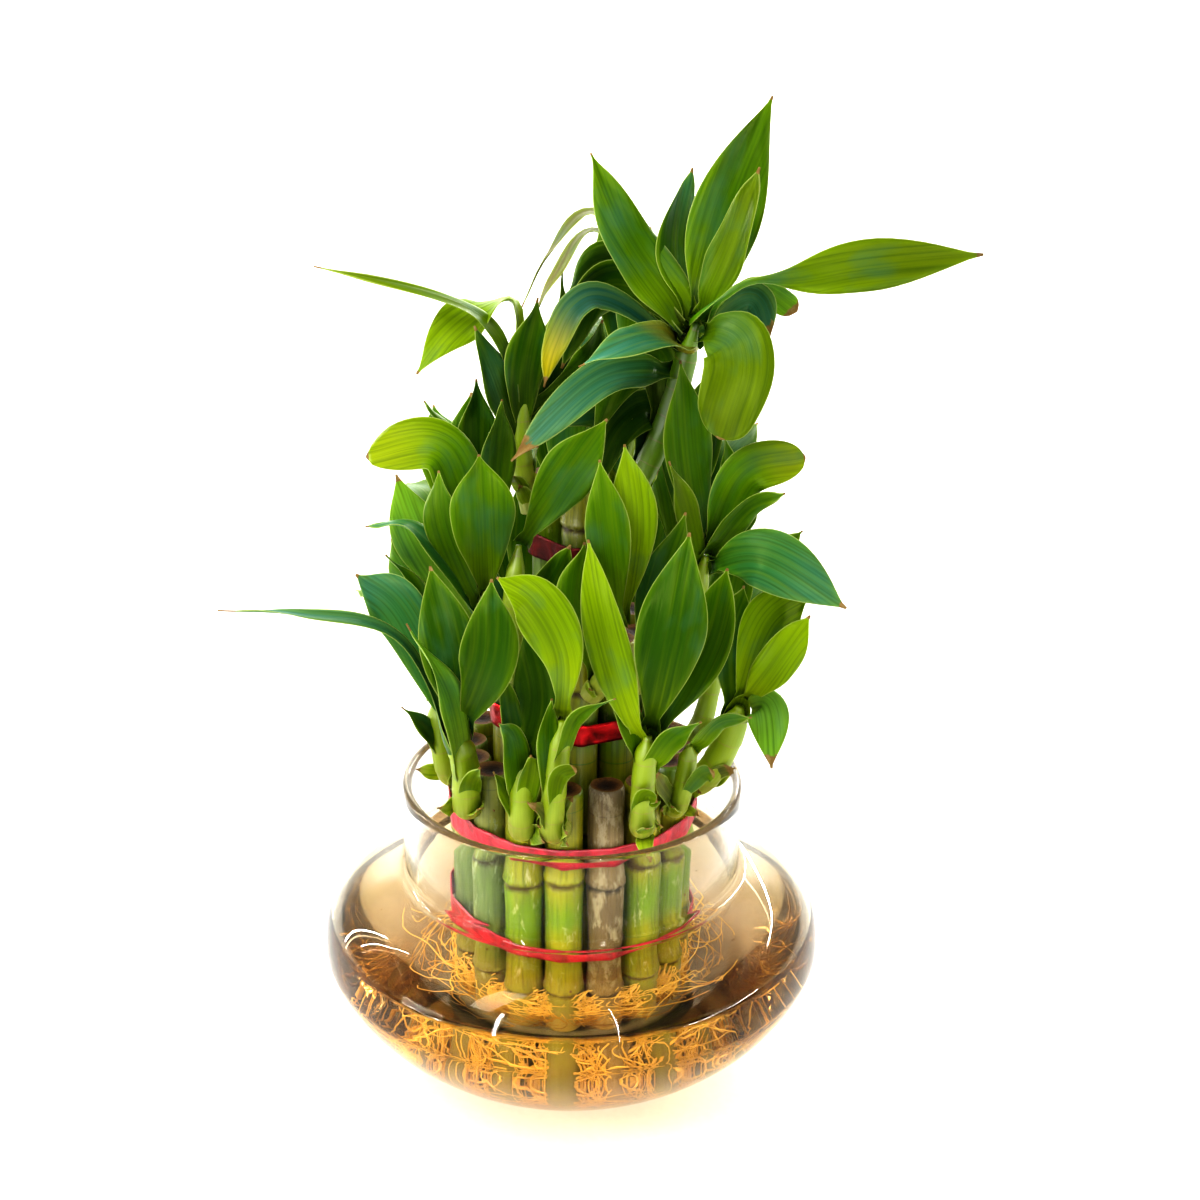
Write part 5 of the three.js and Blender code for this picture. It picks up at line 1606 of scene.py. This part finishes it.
def back_shoot(row, number):
    """A whole back shoot from its row, with its leaves fanned to either side in turn."""
    plan = dict(zip(BACK_PARTS, row))
    draw = repeatable(7 + 13 * number)
    stem = back_stem(plan)
    leaves = []
    for i in range(BACK_LEAVES):
        side = 1 if i % 2 else -1
        fan = side * (BACK_FAN * (i + 1) / BACK_LEAVES + BACK_WANDER * next(draw))
        heading = math.radians(plan["heading"] + fan)
        length = plan["length"] * (0.9 + 0.2 * next(draw))
        width = BACK_WIDTH * (0.85 + 0.2 * next(draw))
        steep = BACK_STEEP - BACK_STEP * i
        path = arch_path(Vector(stem[-1]), heading, steep, BACK_DROOP + BACK_STEP * i, length)
        look = BACK_LOOKS[(i + number) % len(BACK_LOOKS)]
        leaves.append((BACK_FIRST - BACK_SPACING * i, width, 0, look, path))
    return {**plan, "radius": BACK_RADIUS, "stem": stem, "leaves": leaves, "back": True}


def make_shoots():
    leaf = leaf_material()
    skin = stem_material()
    for shoot in FRONT_SHOOTS + [back_shoot(row, n) for n, row in enumerate(BACK_SHOOTS)]:
        make_shoot(shoot, leaf, skin)


make_shoots()

# Studio
# A sheet of matt white paper that sweeps up behind the bowl, under large soft lamps. The
# narrow lamps are only mirrored: they leave the thin white streaks on the belly of the glass.
# Sizes and places of the paper and the lamps, in metres
SWEEP_FRONT = -1.6
SWEEP_BEND = 3.3
SWEEP_RADIUS = 0.8
SWEEP_STEPS = 12
SWEEP_WIDTH = 4.0
SWEEP_HEIGHT = 3.0
AIM = Vector((0, 0, 0.14))
FAR_FLOOR = Vector((0, 3.6, 0))
# A key lamp both lights and is mirrored, a fill lamp only lights, and a glint is only mirrored
LAMPS = [
    {"name": "key", "place": (-0.65, -0.72, 1.2), "size": (0.25, 0.9), "power": 12, "role": "key"},
    {"name": "back", "place": (0, 1.2, 1.5), "size": (1.8, 0.8), "power": 13, "role": "fill"},
    {"name": "low_left", "place": (-1.13, -0.52, 0.09), "size": (0.5, 0.012), "power": 3, "role": "glint"},
    {"name": "high_left", "place": (-1.13, -0.52, 0.23), "size": (0.5, 0.01), "power": 2.5, "role": "glint"},
    {"name": "left", "place": (-0.85, 0.45, 0.35), "size": (0.015, 0.75), "power": 5, "role": "glint"},
    {"name": "left_again", "place": (-0.85, 0.3, 0.55), "size": (0.012, 0.6), "power": 4, "role": "glint"},
    {"name": "back_right", "place": (0.65, 0.75, 0.62), "size": (1.1, 0.014), "power": 7, "role": "glint"},
    {"name": "low_right", "place": (1.06, -0.46, 0.1), "size": (0.8, 0.012), "power": 4, "role": "glint"},
    {"name": "front_left", "place": (-0.52, -0.87, 0.4), "size": (0.03, 0.6), "power": 8, "role": "glint"},
    {"name": "front_right", "place": (0.33, -0.9, 0.5), "size": (0.012, 0.9), "power": 5, "role": "glint"},
]
FLOOR_LAMP = {"name": "far_floor", "place": (0, 3.2, 2.4), "size": (4, 1.5), "power": 160, "role": "fill"}
AIR_STRENGTH = 1.0
GLASS_BOUNCES = 20
# Fibres in the paper are drawn 2.5 mm wide, since real ones are too fine to show
PAPER_FIBRE = 2.5
# The camera's place in millimetres, its turns about the three axes in degrees, and its lens
CAMERA_PLACE = Vector((0, -578.12, 394.11))
CAMERA_TURNS = (67.698, -0.648, -0.534)
CAMERA_LENS = 61.35
CAMERA_SENSOR = 36


def paper_material():
    """Background paper: pressed matt, near white, with the faintest fibre."""
    material, tree, output = new_material("white_background_paper")
    place = add_node(tree, "ShaderNodeTexCoord").outputs["Object"]
    fibre = add_node(tree, "ShaderNodeTexNoise", {
        "Vector": place, "Scale": per_metre(PAPER_FIBRE), "Detail": 2,
    })
    colour = add_node(tree, "ShaderNodeValToRGB", {0: fibre}, stops=[(0, "#F2F2F0"), (1, "#FAFAF8")])
    sheet = add_node(tree, "ShaderNodeBsdfPrincipled", {"Base Color": colour, "Roughness": 0.9})
    tree.links.new(sheet.outputs[0], output.inputs["Surface"])
    return material


def make_paper():
    profile = [(SWEEP_FRONT, 0), (0, 0), (SWEEP_BEND, 0)]
    for i in range(1, SWEEP_STEPS + 1):
        angle = math.pi / 2 * i / SWEEP_STEPS
        profile.append((SWEEP_BEND + SWEEP_RADIUS * math.sin(angle), SWEEP_RADIUS * (1 - math.cos(angle))))
    profile.append((SWEEP_BEND + SWEEP_RADIUS, SWEEP_HEIGHT))
    verts = [(x, y, z) for y, z in profile for x in (-SWEEP_WIDTH, SWEEP_WIDTH)]
    faces = [(2 * i, 2 * i + 1, 2 * i + 3, 2 * i + 2) for i in range(len(profile) - 1)]
    mesh_object("paper_sweep", verts, faces, [paper_material()])


def add_lamp(plan, aim):
    light = bpy.data.lights.new(plan["name"], "AREA")
    light.shape = "RECTANGLE"
    light.size, light.size_y = plan["size"]
    light.energy = plan["power"]
    lamp = bpy.data.objects.new(plan["name"], light)
    lamp.location = plan["place"]
    lamp.rotation_euler = (aim - lamp.location).to_track_quat("-Z", "Y").to_euler()
    lamp.visible_camera = False
    lamp.visible_diffuse = plan["role"] != "glint"
    lamp.visible_glossy = plan["role"] != "fill"
    lamp.visible_transmission = plan["role"] == "glint"
    bpy.context.scene.collection.objects.link(lamp)


def make_air():
    """The light of the room, warm grey from below and white from above and behind."""
    world = bpy.data.worlds.new("studio_air")
    world.use_nodes = True
    tree = world.node_tree
    way = add_node(tree, "ShaderNodeTexCoord").outputs["Generated"]
    share = add_node(tree, "ShaderNodeVectorMath", {0: way, 1: (0, 0.4, 0.7)}, operation="DOT_PRODUCT")
    level = add_node(tree, "ShaderNodeMapRange", {0: share.outputs["Value"], 1: -0.5, 2: 0.7})
    air = add_node(tree, "ShaderNodeValToRGB", {0: level}, stops=[
        (0, "#8C8478"), (0.5, "#C2C0BC"), (1, "#FFFFFF"),
    ])
    sky = tree.nodes["Background"]
    tree.links.new(air.outputs[0], sky.inputs["Color"])
    sky.inputs["Strength"].default_value = AIR_STRENGTH
    bpy.context.scene.world = world


def set_picture():
    """A plain, contrasty picture, with enough bounces for light to cross the bowl and its water."""
    scene = bpy.context.scene
    scene.view_settings.view_transform = "Standard"
    scene.view_settings.look = "High Contrast"
    scene.cycles.caustics_reflective = False
    scene.cycles.max_bounces = GLASS_BOUNCES
    scene.cycles.transmission_bounces = GLASS_BOUNCES
    scene.cycles.glossy_bounces = GLASS_BOUNCES


def make_camera():
    data = bpy.data.cameras.new("photo_camera")
    data.sensor_width = CAMERA_SENSOR
    data.lens = CAMERA_LENS
    data.clip_start = 0.01
    camera = bpy.data.objects.new("photo_camera", data)
    turns = Euler([math.radians(turn) for turn in CAMERA_TURNS])
    camera.matrix_world = Matrix.LocRotScale(CAMERA_PLACE * MM, turns, None)
    bpy.context.scene.collection.objects.link(camera)
    bpy.context.scene.camera = camera


make_paper()
for lamp_plan in LAMPS:
    add_lamp(lamp_plan, AIM)
add_lamp(FLOOR_LAMP, FAR_FLOOR)
make_air()
set_picture()
make_camera()
